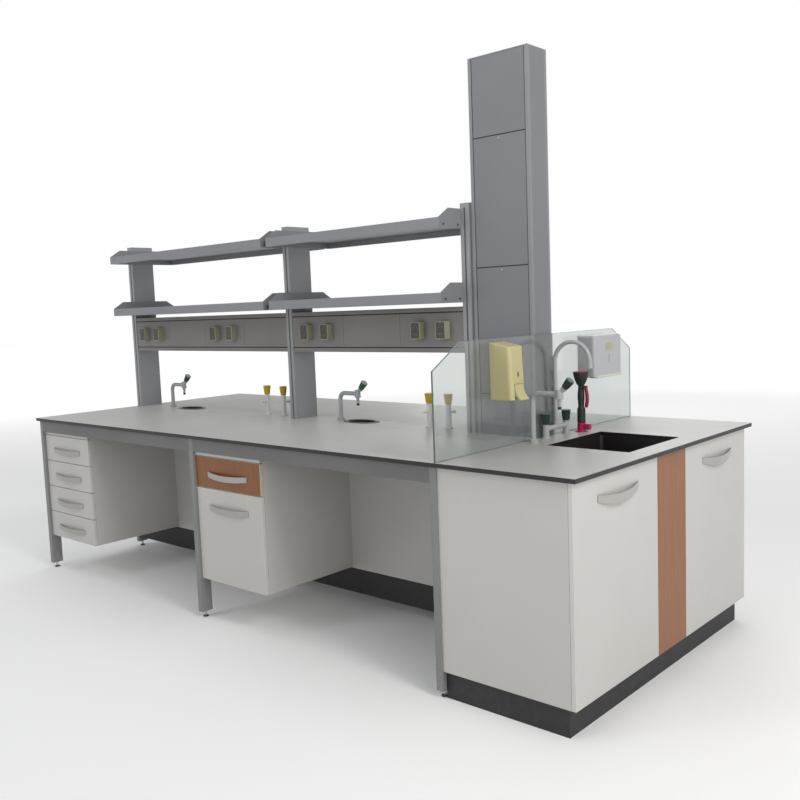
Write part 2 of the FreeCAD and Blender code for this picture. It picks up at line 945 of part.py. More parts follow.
# Edges of the fixed strip between the two sink doors
sink_door_near = near + d.cabinet_side_inset
strip_near = -d.service_strip_width / 2
sink_door_far = strip_near - d.service_gap
door_height = (d.cabinet_bottom, underside - d.sink_door_top_gap)
basin_middle_x = right - d.sink_end_offset - sink_length / 2
basin_floor = underside - d.basin_depth
trap_top = basin_floor - d.basin_wall - d.tailpiece_length
outlet_level = trap_top - d.trap_outlet_drop


def build_sink_cabinet():
    """Carcass of the sink cabinet, its back bored for the drain, and the strip between its doors."""
    inner = near + d.cabinet_side_inset + d.cabinet_board
    span = (inner, -inner)
    depth = (cabinet_left, cabinet_front)
    floor = d.cabinet_bottom + d.cabinet_board
    rail_low = underside - d.cabinet_rail_height
    side = block("cabinet_side", depth, (sink_door_near, inner), (d.cabinet_bottom, underside))
    stile_middle = strip_near - d.service_gap / 2
    stile_y = (stile_middle - d.stile_width / 2, stile_middle + d.stile_width / 2)
    stile_x = (cabinet_front - d.stile_depth, cabinet_front)
    stile = block("cabinet_stile", stile_x, stile_y, (floor, rail_low))
    back_x = (cabinet_left, cabinet_left + d.cabinet_board)
    back = block("cabinet_back", back_x, span, (floor, underside))
    drain_hole = rod("drain_hole", back_x, d.sink_centre_shift, outlet_level, d.drain_radius + d.waste_fit)
    pieces = both_sides("cabinet_side_pair", [side, stile])
    pieces.append(block("cabinet_floor", depth, span, (d.cabinet_bottom, floor)))
    pieces.append(cut("cabinet_back_bored", back, drain_hole))
    rail_x = (cabinet_front - d.cabinet_board, cabinet_front)
    pieces.append(block("cabinet_rail", rail_x, span, (rail_low, underside)))
    node("sink_cabinet", pieces)
    strip_x = (cabinet_front, cabinet_front + d.front_thickness)
    node("service_panel", [block("service_strip", strip_x, (strip_near, -strip_near), door_height)])


def build_sink_doors():
    """The two sink doors at the bench end, each with a bow handle."""
    panel_x = (door_face - d.front_thickness, door_face)
    panel = block("sink_door_panel", panel_x, (sink_door_near, sink_door_far), door_height)
    spot = (door_face, (sink_door_near + sink_door_far) / 2, door_height[1] - d.sink_handle_drop)
    handle = set_handle("sink_door_handle", d.sink_handle_dip, d.sink_handle_belly, spot, RIGHT_ANGLE)
    near_door = node("near_sink_door", [panel, handle])
    node("far_sink_door", [mirrored("far_sink_door", near_door)])


def hinge_levels(low, high):
    """The middle heights of the two hinges of a door."""
    return low + (high - low) * d.hinge_end_share, high - (high - low) * d.hinge_end_share


def build_hinges():
    """Arms of the concealed hinges, two behind each door, on the sides of the cabinets."""
    pieces = []
    side = near + d.cabinet_side_inset + d.cabinet_board
    for z in hinge_levels(*door_height):
        height = (z - d.hinge_height / 2, z + d.hinge_height / 2)
        x = (cabinet_front - d.hinge_length, cabinet_front)
        pieces.append(block("sink_hinge_arm", x, (side, side + d.hinge_width), height))
    side = cupboard_left + d.pedestal_width - d.board
    for z in hinge_levels(pedestal_bottom, cupboard_split):
        height = (z - d.hinge_height / 2, z + d.hinge_height / 2)
        y = (carcass_front, carcass_front + d.hinge_length)
        pieces.append(block("cupboard_hinge_arm", (side - d.hinge_width, side), y, height))
    node("door_hinges", both_sides("hinge_pairs", pieces))


def build_basin():
    """The black basin under the sink top: flange, walls and a floor with the waste hole."""
    flange = block("basin_flange", *sink_area(d.basin_flange), (underside - d.basin_wall, underside))
    tub_z = (basin_floor - d.basin_wall, underside - d.basin_wall)
    tub = block("basin_tub", *sink_area(d.basin_wall), tub_z)
    hollow = block("basin_hollow", *sink_area(0), (basin_floor, underside))
    hole = rod(
        "waste_hole", basin_middle_x, d.sink_centre_shift, (basin_floor - d.basin_wall, basin_floor),
        d.tailpiece_radius + d.waste_fit,
    )
    body = fuse("basin_body", [flange, tub])
    node("sink_basin", [cut("basin", body, gather("basin_voids", [hollow, hole]))])


def build_cups():
    """Two oval cup sinks let into the centre strip, each with an outlet below."""
    half_length = d.cup_length / 2
    half_width = d.cup_width / 2
    bottom = top - d.cup_depth
    pieces = []
    for x in cup_centres:
        rim = oval("cup_rim", x, 0, (top, top + d.cup_rim_height), half_length, half_width)
        overlap = d.cup_rim_overlap
        wall = oval("cup_wall", x, 0, (bottom, top), half_length - overlap, half_width - overlap)
        inset = d.cup_rim_overlap + d.cup_wall
        hollow = oval(
            "cup_hollow", x, 0, (bottom + d.cup_wall, top + d.cup_rim_height),
            half_length - inset, half_width - inset,
        )
        outlet = rod("cup_outlet", x, 0, (bottom - d.cup_outlet_length, bottom), d.cup_outlet_radius)
        pieces.append(cut("cup_sink", fuse("cup_body", [rim, wall, outlet]), hollow))
    node("cup_sinks", pieces)


def build_waste():
    """Sink waste with its bottle trap, and the drain that also takes the two cups."""
    y = d.sink_centre_shift
    drop_x = frame_centres[2] - d.leg_width / 2 - d.drain_from_frame
    drain_level = top - d.cup_depth - d.cup_outlet_length - d.drain_branch
    strainer = rod("strainer", basin_middle_x, y, (basin_floor, basin_floor + d.waste_lip), d.waste_radius)
    tailpiece = rod("tailpiece", basin_middle_x, y, (trap_top, basin_floor), d.tailpiece_radius)
    trap = rod("bottle_trap", basin_middle_x, y, (trap_top - d.trap_length, trap_top), d.trap_radius)
    outlet = rod("trap_outlet", (drop_x, basin_middle_x), y, outlet_level, d.drain_radius)
    drop = rod("drain_drop", drop_x, y, (d.foot_height, drain_level + d.drain_radius), d.drain_radius)
    run = rod("drain_run", (cup_centres[0], drop_x), 0, drain_level, d.drain_radius)
    branches = [
        rod("drain_branch", x, 0, (drain_level, drain_level + d.drain_branch), d.drain_radius)
        for x in cup_centres
    ]
    pipes = fuse("drain_pipes", [strainer, tailpiece, trap, outlet, drop, run] + branches)
    node("waste_pipes", [pipes])


def build_uprights():
    """The slotted posts of the rack, each with a cap."""
    half = d.upright_depth / 2
    height = (top, top + d.upright_height)
    pieces = []
    for x in upright_centres:
        across = (x - d.upright_width / 2, x + d.upright_width / 2)
        slot = (x - d.upright_slot_width / 2, x + d.upright_slot_width / 2)
        post = block("post", across, (-half, half), height)
        near_slot = block("post_slot", slot, (-half, -half + d.upright_slot_depth), height)
        slots = both_sides("post_slots", [near_slot])
        wall = d.upright_wall
        core_half = half - d.upright_slot_depth - wall
        core = block("post_core", (across[0] + wall, across[1] - wall), (-core_half, core_half), height)
        pieces.append(cut("slotted_post", post, gather("post_hollows", slots + [core])))
        pieces.append(block("post_cap", across, (-half, half), (height[1], height[1] + d.cap_height)))
    node("uprights", pieces)


def end_plate(name, x, level):
    """A shelf's end plate with its two raised shoulders, its left face at x."""
    half = d.shelf_depth / 2
    shoulder = half - d.end_plate_slant
    outline = [
        (-half, 0, 0),
        (half, 0, 0),
        (half, d.shelf_height, 0),
        (shoulder, d.shelf_height + d.end_plate_rise, 0),
        (-shoulder, d.shelf_height + d.end_plate_rise, 0),
        (-half, d.shelf_height, 0),
    ]
    return profile(name, "YZ_Plane", outline, d.end_plate, (x, 0, level - d.shelf_height))


def build_shelves():
    """Two tiers of double-sided shelves in each bay, between screwed end plates."""
    half = d.shelf_depth / 2
    shelves = []
    plates = []
    for start, end in rack_bays:
        for level in (lower_shelf_level, upper_shelf_level):
            x = (start + d.end_plate, end - d.end_plate)
            deck_z = (level - d.shelf_deck, level)
            shelves.append(hollow_bar("shelf_deck", x, (-half, half), deck_z, d.shelf_sheet, 0))
            lip_z = (level - d.shelf_height, level - d.shelf_deck)
            lip = hollow_bar("shelf_lip", x, (-half, -half + d.shelf_lip), lip_z, d.shelf_sheet, 0)
            shelves += both_sides("shelf_lips", [lip])
            plates.append(end_plate("left_plate", start, level))
            plates.append(end_plate("right_plate", end - d.end_plate, level))
            plates += plate_screws(level, ((start - d.screw_head, start), (end, end + d.screw_head)))
    node("shelves", shelves)
    node("shelf_end_plates", plates)


def plate_screws(level, spans):
    """Screw heads on the outer faces of a shelf's two end plates."""
    z = level - d.shelf_height + d.screw_lift
    heads = []
    for x in spans:
        for y in (-d.shelf_depth / 2 + d.screw_inset, -d.shelf_depth / 2 + d.screw_inset + d.screw_pitch):
            heads.append(rod("plate_screw", x, y, z, d.screw_radius))
    return both_sides("plate_screws", heads)


raceway_bays = list(zip(rack_bays, (d.first_bay_panels, d.second_bay_panels)))


def build_raceways():
    """The power raceways under the lower shelves: rails, inner sheets and cover panels."""
    half = d.raceway_depth / 2
    rail_top = raceway_bottom + d.raceway_rail
    rail_low = raceway_top - d.raceway_rail
    pieces = []
    for x, count in raceway_bays:
        for name, z in (("lower_rail", (raceway_bottom, rail_top)), ("upper_rail", (rail_low, raceway_top))):
            pieces.append(hollow_bar(name, x, (-half, half), z, d.raceway_wall, 0))
        sheet_face = -half + d.raceway_panel
        covers = [block("inner_sheet", x, (sheet_face, sheet_face + d.raceway_sheet), (rail_top, rail_low))]
        pitch = (x[1] - x[0]) / count
        for index in range(int(count.value)):
            start = x[0] + pitch * index
            covers.append(
                block(
                    "cover_panel", (start, start + pitch - d.raceway_seam), (-half, sheet_face),
                    (rail_top + d.raceway_groove, rail_low - d.raceway_groove),
                )
            )
        pieces += both_sides("raceway_covers", covers)
    node("raceways", pieces)


def build_sockets():
    """Pairs of socket boxes on the first and third cover panel of each bay, both sides."""
    face = -d.raceway_depth / 2
    z = (raceway_bottom + raceway_top) / 2
    box_y = (face - d.socket_depth, face)
    face_y = (face - d.socket_depth - d.socket_face_depth, face - d.socket_depth)
    pieces = []
    for x, count in raceway_bays:
        pitch = (x[1] - x[0]) / count
        for panel in (0, 2):
            middle = x[0] + pitch * panel + pitch / 2 + d.socket_pair_shift
            for centre in (middle - d.socket_pitch / 2, middle + d.socket_pitch / 2):
                spot = (centre, z)
                pieces.append(socket_plate("socket_box", spot, d.socket_width, d.socket_height, box_y))
                pieces.append(
                    socket_plate("socket_face", spot, d.socket_face_width, d.socket_face_height, face_y)
                )
    node("socket_outlets", both_sides("socket_pairs", pieces))


def socket_plate(name, middle, width, height, y):
    """A box of one width and height about its middle, given along the bench and up."""
    x, z = middle
    return block(name, (x - width / 2, x + width / 2), y, (z - height / 2, z + height / 2))


def build_column():
    """The tall service column: corner posts and cap, cover panels, and the strip beside it."""
    half = d.column_depth / 2
    corners = [(column_left, column_left + d.column_post), (column_right - d.column_post, column_right)]
    post_y = (-half, -half + d.column_post)
    posts = [
        hollow_bar("column_post", x, post_y, (top, column_top), d.column_post_wall, 2) for x in corners
    ]
    frame = both_sides("column_posts", posts)
    cap_z = (column_top, d.overall_height)
    frame.append(block("column_cap", (column_left, column_right), (-half, half), cap_z))
    filler_half = d.upright_depth / 2 - d.filler_setback
    filler_x = (column_left - d.column_gap, column_left)
    filler_z = (top, top + d.upright_height + d.cap_height)
    frame.append(block("filler_strip", filler_x, (-filler_half, filler_half), filler_z))
    node("column_frame", frame)
    node("column_panels", column_panels(corners, half))


def column_panels(corners, half):
    """Stacked cover panels on both long faces of the column, and one on each short face."""
    cover_x = (corners[0][1], corners[1][0])
    cover_y = (-half + d.column_panel_inset, -half + d.column_panel_inset + d.column_panel)
    low = top
    covers = []
    rise = column_top - top
    shares = (d.column_first_share, d.column_panel_share, d.column_panel_share)
    for height in [rise * share for share in shares]:
        covers.append(block("column_cover", cover_x, cover_y, (low, low + height)))
        low = low + height + d.column_seam
    covers.append(block("column_cover", cover_x, cover_y, (low, column_top)))
    pieces = both_sides("column_covers", covers)
    side_y = (-half + d.column_post, half - d.column_post)
    for x in ((column_left, column_left + d.column_panel), (column_right - d.column_panel, column_right)):
        pieces.append(block("column_side", x, side_y, (top, column_top)))
    return pieces


glass_left = sink_top_left + d.glass_setback
glass_right = glass_left + d.glass_thickness


def build_glass():
    """The splash screen across the bench, with its two upper corners cut off."""
    half = -near - d.glass_end_gap
    slope = d.glass_height - d.glass_chamfer_height
    shoulder = half - d.glass_chamfer_length
    outline = [
        (-half, 0, 0),
        (half, 0, 0),
        (half, slope, 0),
        (shoulder, d.glass_height, 0),
        (-shoulder, d.glass_height, 0),
        (-half, slope, 0),
    ]
    pane = profile("glass_pane", "YZ_Plane", outline, d.glass_thickness, (glass_left, 0, top))
    node("glass_screen", [pane])


def stand(name, pieces, at, tilt=None):
    """Pieces made at the origin, set in place and, where a tilt is given, leant towards +X."""
    thing = gather(name, pieces)
    if tilt is not None:
        lean = FreeCAD.Rotation(FreeCAD.Vector(0, 1, 0), tilt.value)
        thing.Placement = FreeCAD.Placement(FreeCAD.Vector(), lean)
        bind(thing, "Placement.Rotation.Angle", tilt)
    place(thing, at)
    return thing


def bored_stem(name, radius, bottom, seat):
    """An upright stem at the origin, bored at its upper end for a knob's spindle."""
    stem = rod(name + "_stem", 0, 0, (bottom, seat), radius)
    bore = (seat - d.spindle_length - d.spindle_fit, seat)
    return cut(name + "_bored", stem, rod(name + "_bore", 0, 0, bore, d.spindle_radius + d.spindle_fit))


def valve_knob(name, small, large, length, seat):
    """A tapered knob at the origin, with the spindle that turns in the stem below its seat."""
    start = seat + d.knob_clearance
    grip = cone(name + "_grip", 0, 0, (start, start + length), small, large)
    spindle = rod(name + "_spindle", 0, 0, (seat - d.spindle_length, start), d.spindle_radius)
    return fuse(name + "_turned", [grip, spindle])


def goose_tap(name, height):
    """A goose-head tap at the origin, its head out along +X, with a leaning bored stem."""
    reach = d.tap_reach
    low = height - d.tap_head_length / 2
    stem = stand(
        name + "_lean", [bored_stem(name, d.tap_stem_radius, as_size(0), d.tap_stem_length)],
        (reach, 0, height), d.tap_tilt,
    )
    nozzle_end = height - d.tap_nozzle_drop
    nozzle_z = (nozzle_end, low)
    body = fuse(
        name + "_body",
        [
            rod(name + "_flange", 0, 0, (as_size(0), d.tap_flange_height), d.tap_flange_radius),
            rod(name + "_riser", 0, 0, (d.tap_flange_height, height - d.tap_bend), d.tap_tube_radius),
            bend(
                name + "_bend", (d.tap_bend, 0, height - d.tap_bend), d.tap_bend, d.tap_tube_radius,
                RIGHT_ANGLE, RIGHT_ANGLE,
            ),
            rod(name + "_arm", (d.tap_bend, reach), 0, height, d.tap_tube_radius),
            rod(name + "_head", reach, 0, (low, low + d.tap_head_length), d.tap_head_radius),
            cone(name + "_nozzle", reach, 0, nozzle_z, d.tap_nozzle_tip_radius, d.tap_nozzle_radius),
            stem,
        ],
    )
    tip = rod(name + "_tip", reach, 0, (nozzle_end - d.tap_tip_length, nozzle_end), d.tap_tip_radius)
    return [body, tip]


def tap_knob(name):
    """The tapered knob of a goose-head tap, with its end cap, upright at the origin."""
    knob = valve_knob(
        name, d.tap_knob_small_radius, d.tap_knob_large_radius, d.tap_knob_length, d.tap_stem_length
    )
    low = d.tap_stem_length + d.knob_clearance + d.tap_knob_length
    cap = rod(name + "_cap", 0, 0, (low, low + d.tap_knob_cap_height), d.tap_knob_cap_radius)
    return fuse(name + "_capped", [knob, cap])


tap_spots = [
    ("left_cup_tap", cup_centres[0] - d.first_tap_back, 0, d.cup_tap_height),
    ("right_cup_tap", cup_centres[1] - d.second_tap_back, 0, d.cup_tap_height),
    ("sink_tap", sink_top_left + d.sink_tap_back, -d.sink_tap_lateral, d.sink_tap_height),
]


def build_taps():
    """The two cup taps and the sink tap, with a knob that turns on each."""
    bodies = []
    for name, x, y, height in tap_spots:
        bodies.append(stand(name, goose_tap(name, height), (x, y, top)))
        seat = (x + d.tap_reach, y, top + height)
        node(name + "_knob", [stand(name + "_knob_seat", [tap_knob(name + "_grip")], seat, d.tap_tilt)])
    node("tap_bodies", bodies)


first_gas = along_bay(0, d.first_gas_share)
second_gas = along_bay(1, d.second_gas_share)
gas_spots = [first_gas, first_gas + d.first_gas_pitch, second_gas, second_gas + d.second_gas_pitch]


def gas_stem(name, side):
    """A gas tap's flange, bored stem and barbed hose nozzle, which points to one side."""
    z = d.gas_stem_height - d.gas_nozzle_drop
    reach = d.gas_nozzle_length
    barb_start = reach - d.gas_barb_length
    spans = ((as_size(0), reach), (barb_start, reach))
    if side < 0:
        spans = ((-reach, as_size(0)), (-reach, -barb_start))
    return fuse(
        name + "_body",
        [
            rod(name + "_flange", 0, 0, (as_size(0), d.gas_flange_height), d.gas_flange_radius),
            bored_stem(name, d.gas_stem_radius, d.gas_flange_height, d.gas_stem_height),
            rod(name + "_nozzle", 0, spans[0], z, d.gas_nozzle_radius),
            rod(name + "_barb", 0, spans[1], z, d.gas_barb_radius),
        ],
    )


def build_gas_taps():
    """Four gas taps on the centre strip, their nozzles to the near and far side in turn."""
    bodies = []
    for index, x in enumerate(gas_spots):
        name = f"gas_tap_{index + 1}"
        bodies.append(stand(name, [gas_stem(name, -1 if index % 2 == 0 else 1)], (x, 0, top)))
        knob = valve_knob(
            name + "_grip", d.gas_knob_small_radius, d.gas_knob_large_radius, d.gas_knob_height,
            d.gas_stem_height,
        )
        node(name + "_knob", [stand(name + "_knob_seat", [knob], (x, 0, top))])
    node("gas_tap_bodies", bodies)


mixer_x = sink_top_left + d.mixer_back
mixer_legs = (
    ("near_mixer", d.mixer_centre_shift - d.mixer_leg_pitch / 2),
    ("far_mixer", d.mixer_centre_shift + d.mixer_leg_pitch / 2),
)


def build_mixer():
    """The bridge mixer: two legs with knobs, the bridge, its collar and the swivel spout."""
    legs = []
    for name, y in mixer_legs:
        foot = rod(name + "_foot", 0, 0, (as_size(0), d.mixer_foot_height), d.mixer_foot_radius)
        leg = bored_stem(name, d.mixer_leg_radius, d.mixer_foot_height, d.mixer_leg_height)
        legs.append(stand(name + "_leg", [fuse(name + "_body", [foot, leg])], (0, y, 0)))
        knob = valve_knob(
            name + "_grip", d.mixer_knob_small_radius, d.mixer_knob_large_radius, d.mixer_knob_height,
            d.mixer_leg_height,
        )
        node(name + "_knob", [stand(name + "_knob_seat", [knob], (mixer_x, y, top))])
    z = d.mixer_bridge_height
    inner = d.mixer_leg_pitch / 2 - d.mixer_leg_radius / 2
    span = (d.mixer_centre_shift - inner, d.mixer_centre_shift + inner)
    bridge = rod("mixer_bridge", 0, span, z, d.mixer_bridge_radius)
    seat = z + d.spout_collar_height
    collar = rod("mixer_collar", 0, d.mixer_centre_shift, (z, seat), d.spout_collar_radius)
    casting = fuse("mixer_casting", legs + [bridge, collar])
    bore_z = (seat - d.spindle_length - d.spindle_fit, seat)
    bore = rod("mixer_bore", 0, d.mixer_centre_shift, bore_z, d.spindle_radius + d.spindle_fit)
    node("mixer_body", [stand("mixer_seat", [cut("mixer_bored", casting, bore)], (mixer_x, 0, top))])


def build_spout():
    """The swivelling spout: spigot, riser, half-round arch and nozzle."""
    seat = d.mixer_bridge_height + d.spout_collar_height
    arch_radius = d.spout_reach / 2
    high = seat + d.spout_rise
    nozzle_z = (high - d.spout_nozzle_length, high)
    spout = fuse(
        "spout_tube",
        [
            rod("spout_spigot", 0, 0, (seat - d.spindle_length, seat + d.knob_clearance), d.spindle_radius),
            rod("spout_riser", 0, 0, (seat + d.knob_clearance, high), d.spout_radius),
            bend("spout_arch", (arch_radius, 0, high), arch_radius, d.spout_radius, 0, HALF_TURN),
            rod("spout_nozzle", d.spout_reach, 0, nozzle_z, d.spout_nozzle_radius),
        ],
    )
    node("mixer_spout", [stand("spout_seat", [spout], (mixer_x, d.mixer_centre_shift, top))])


eyewash_spot = (sink_top_left + d.eyewash_back, d.eyewash_lateral, top)
socket_top = d.eyewash_socket_height
grip_low = socket_top + d.eyewash_rest_gap
grip_top = grip_low + d.eyewash_grip_height
neck_top = grip_top + d.eyewash_neck_height
pivot_z = neck_top - d.eyewash_pivot_drop
lever_x = d.eyewash_neck_radius + d.eyewash_lever_gap


def build_eyewash():
    """The eyewash: a bored socket with its side boss, the lift-out handset and its lever."""
    socket = fuse(
        "eyewash_casting",
        [
            rod("eyewash_flange", 0, 0, (as_size(0), d.eyewash_flange_height), d.eyewash_flange_radius),
            rod("eyewash_socket", 0, 0, (d.eyewash_flange_height, socket_top), d.eyewash_socket_radius),
            rod("eyewash_boss", (as_size(0), d.eyewash_boss_length), 0, socket_top - d.eyewash_boss_drop,
                d.eyewash_boss_radius),
        ],
    )
    bore = rod("eyewash_bore", 0, 0, (socket_top - d.eyewash_stem_length, socket_top), d.eyewash_socket_bore)
    node("eyewash_base", [stand("eyewash_seat", [cut("eyewash_bored", socket, bore)], eyewash_spot)])
    node("eyewash_handset", [stand("handset_seat", [handset()], eyewash_spot)])
    node("eyewash_lever", [stand("lever_seat", [handset_lever()], eyewash_spot)])


def handset():
    """The handset at the origin: stem, grip, neck, flared head and the ears of the lever."""
    stem = (socket_top - d.eyewash_stem_length + d.eyewash_rest_gap, grip_low)
    head_top = neck_top + d.eyewash_bowl_height
    rim = d.eyewash_bowl_radius - d.eyewash_bowl_wall
    ear_near = d.eyewash_lever_width / 2 + d.pivot_fit
    reach = lever_x + d.eyewash_lever_thickness
    z = (pivot_z - d.eyewash_pivot_drop, pivot_z + d.eyewash_pivot_drop)
    ear = block("ear", (as_size(0), reach), (ear_near, ear_near + d.eyewash_ear), z)
    ears = both_sides("handset_ears", [ear])
    outer = fuse(
        "handset_body",
        [
            rod("handset_stem", 0, 0, stem, d.eyewash_stem_radius),
            rod("handset_grip", 0, 0, (grip_low, grip_top), d.eyewash_grip_radius),
            rod("handset_neck", 0, 0, (grip_top, neck_top), d.eyewash_neck_radius),
            cone("handset_head", 0, 0, (neck_top, head_top), d.eyewash_neck_radius, d.eyewash_bowl_radius),
        ] + ears,
    )
    recess = rod("head_recess", 0, 0, (head_top - d.eyewash_bowl_recess, head_top), rim)
    pin_y = ear_near + d.eyewash_ear
    pin_hole = rod("ear_hole", lever_x + d.eyewash_lever_thickness / 2, (-pin_y, pin_y), pivot_z,
                   d.eyewash_pivot_radius + d.pivot_fit)
    return cut("handset_shell", outer, gather("handset_voids", [recess, pin_hole]))


def handset_lever():
    """The squeeze lever beside the neck, with the pin that it turns on."""
    x = (lever_x, lever_x + d.eyewash_lever_thickness)
    half = d.eyewash_lever_width / 2
    blade = block("lever_blade", x, (-half, half), (pivot_z - d.eyewash_lever_length, pivot_z))
    barrel = rod("lever_barrel", (x[0] + x[1]) / 2, (-half, half), pivot_z, d.eyewash_lever_thickness / 2)
    pin_y = half + d.pivot_fit + d.eyewash_ear
    pin = rod("lever_pin", (x[0] + x[1]) / 2, (-pin_y, pin_y), pivot_z, d.eyewash_pivot_radius)
    return fuse("lever_body", [blade, barrel, pin])


def shell_cover(name, side, plan, height, half_width, wall):
    """An open-backed shell: an outer less an inner form, each what a side and a plan outline share."""
    forms = []
    for kind, inset in (("outer", as_size(0)), ("inner", wall)):
        reach = half_width - inset
        side_form = profile(f"{name}_{kind}_side", "XZ_Plane", side(inset), 2 * reach, (0, reach, 0))
        plan_form = profile(f"{name}_{kind}_plan", "XY_Plane", plan(inset), height, (0, 0, 0))
        forms.append(common(f"{name}_{kind}", side_form, plan_form))
    return cut(name + "_shell", *forms)


def rounded_plan(front, half_width, corner):
    """Plan outline of a cover whose two front corners are rounded."""
    sag = corner * QUARTER_SAG_SHARE
    return [
        (0, -half_width, 0),
        (front - corner, -half_width, sag),
        (front, -half_width + corner, 0),
        (front, half_width - corner, sag),
        (front - corner, half_width, 0),
        (0, half_width, 0),
    ]


soap_y = near + d.soap_near_offset + d.soap_width / 2
soap_spot = (glass_right + d.dispenser_back + d.cover_clearance, soap_y, top + d.soap_bottom)
soap_pin_z = d.soap_lever_height - d.soap_barrel_radius - d.soap_window_gap
soap_lean = (d.soap_nose - d.soap_depth) / (d.soap_height - d.soap_top_slope)
soap_front = d.soap_nose - soap_lean * soap_pin_z
soap_pin_x = soap_front - d.soap_wall - d.soap_barrel_radius - d.soap_window_gap


def soap_side(inset):
    """Side outline of the soap cover, its front leaning back and its top sloping down."""
    return [
        (0, inset, 0),
        (d.soap_nose - inset, inset, 0),
        (d.soap_depth - inset, d.soap_height - d.soap_top_slope - inset, 0),
        (0, d.soap_height - inset, 0),
    ]


def soap_plan(inset):
    """Plan outline of the soap cover."""
    return rounded_plan(d.soap_nose - inset, d.soap_width / 2 - inset, d.soap_corner - inset)


def build_soap():
    """The soap dispenser on the screen: back plate with tank, hinged cover and push lever."""
    half = d.soap_width / 2
    back = block("soap_back", (-d.dispenser_back, as_size(0)), (-half, half), (as_size(0), d.soap_height))
    inset = d.soap_wall + d.soap_tank_inset
    tank_x = (as_size(0), d.soap_depth - inset)
    tank_z = (d.soap_tank_rise, d.soap_height - d.soap_top_slope - inset)
    tank = block("soap_tank", tank_x, (-half + inset, half - inset), tank_z)
    fixed = (soap_spot[0] - d.cover_clearance, soap_y, soap_spot[2])
    node("soap_backplate", [stand("soap_fixed", [back, tank], fixed)])
    node("soap_cover", [stand("soap_cover_seat", [soap_shell()], soap_spot)])
    node("soap_lever", [stand("soap_lever_seat", [soap_push()], soap_spot)])


def soap_shell():
    """The soap cover with its window and the ears of the push lever."""
    half = d.soap_width / 2
    shell = shell_cover("soap", soap_side, soap_plan, d.soap_height, half, d.soap_wall)
    window_y = d.soap_lever_width / 2 + d.soap_window_gap
    window = block(
        "soap_window", (soap_pin_x - d.soap_ear, d.soap_nose), (-window_y, window_y),
        (d.soap_lever_height - d.soap_window_height, d.soap_lever_height),
    )
    ear_x = (soap_pin_x - d.soap_barrel_radius, soap_front - d.soap_wall / 2)
    ear_z = (soap_pin_z - d.soap_barrel_radius, soap_pin_z + d.soap_barrel_radius)
    ears = both_sides("soap_ears", [block("soap_ear", ear_x, (window_y, window_y + d.soap_ear), ear_z)])
    pin_y = window_y + d.soap_ear
    pin_hole = rod("soap_pin_hole", soap_pin_x, (-pin_y, pin_y), soap_pin_z, d.soap_pin_radius + d.pivot_fit)
    body = fuse("soap_cover_body", [shell] + ears)
    return cut("soap_cover_cut", body, gather("soap_holes", [window, pin_hole]))


def soap_push():
    """The push lever: a flared blade on a barrel with its pin."""
    half = d.soap_lever_width / 2
    top_reach = soap_front + d.soap_lever_top_reach
    bottom_reach = d.soap_nose + d.soap_lever_reach
    outline = [
        (soap_pin_x, soap_pin_z - d.soap_barrel_radius, 0),
        (bottom_reach - d.soap_lever_tip, 0, 0),
        (bottom_reach, 0, 0),
        (top_reach, soap_pin_z + d.soap_barrel_radius, 0),
        (soap_pin_x, soap_pin_z + d.soap_barrel_radius, 0),
    ]
    blade = profile("soap_blade", "XZ_Plane", outline, 2 * half, (0, half, 0))
    barrel = rod("soap_barrel", soap_pin_x, (-half, half), soap_pin_z, d.soap_barrel_radius)
    pin_y = half + d.soap_window_gap + d.soap_ear
    pin = rod("soap_pin", soap_pin_x, (-pin_y, pin_y), soap_pin_z, d.soap_pin_radius)
    return fuse("soap_lever_body", [blade, barrel, pin])


towel_y = -near - d.towel_far_offset - d.towel_width / 2
towel_spot = (glass_right + d.dispenser_back + d.cover_clearance, towel_y, top + d.towel_bottom)
towel_front = d.towel_depth - d.dispenser_back - d.cover_clearance


def towel_side(inset):
    """Side outline of the towel cover, rounded at the front."""
    corner = d.towel_corner - inset
    sag = corner * QUARTER_SAG_SHARE
    front = towel_front - inset
    high = d.towel_height - inset
    return [
        (0, inset, 0),
        (front - corner, inset, sag),
        (front, inset + corner, 0),
        (front, high - corner, sag),
        (front - corner, high, 0),
        (0, high, 0),
    ]


def towel_plan(inset):
    """Plan outline of the towel cover."""
    return rounded_plan(towel_front - inset, d.towel_width / 2 - inset, d.towel_corner - inset)


def build_towel():
    """The towel dispenser on the screen: back plate with paper stack, and its hinged cover."""
    half = d.towel_width / 2
    back = block("towel_back", (-d.dispenser_back, as_size(0)), (-half, half), (as_size(0), d.towel_height))
    fixed = (towel_spot[0] - d.cover_clearance, towel_y, towel_spot[2])
    node("towel_base", [stand("towel_fixed", [back], fixed)])
    shell = shell_cover("towel", towel_side, towel_plan, d.towel_height, half, d.towel_wall)
    slit_y = d.towel_slot_width / 2
    slit_x = (towel_front - d.towel_wall, towel_front)
    slit_z = (d.towel_slot_rise, d.towel_slot_rise + d.towel_slot_height)
    slit = block("towel_slit", slit_x, (-slit_y, slit_y), slit_z)
    outlet_x = (d.towel_outlet_back, d.towel_outlet_back + d.towel_outlet_width)
    outlet_y = d.towel_outlet_length / 2
    outlet = block("towel_outlet", outlet_x, (-outlet_y, outlet_y), (as_size(0), d.towel_wall))
    open_shell = cut("towel_open_shell", shell, gather("towel_holes", [slit, outlet]))
    lock_x = (towel_front, towel_front + d.towel_lock_height)
    lock = rod("towel_lock", lock_x, 0, d.towel_lock_rise, d.towel_lock_radius)
    cover = fuse("towel_cover_body", [open_shell, lock])
    node("towel_cover", [stand("towel_cover_seat", [cover], towel_spot)])


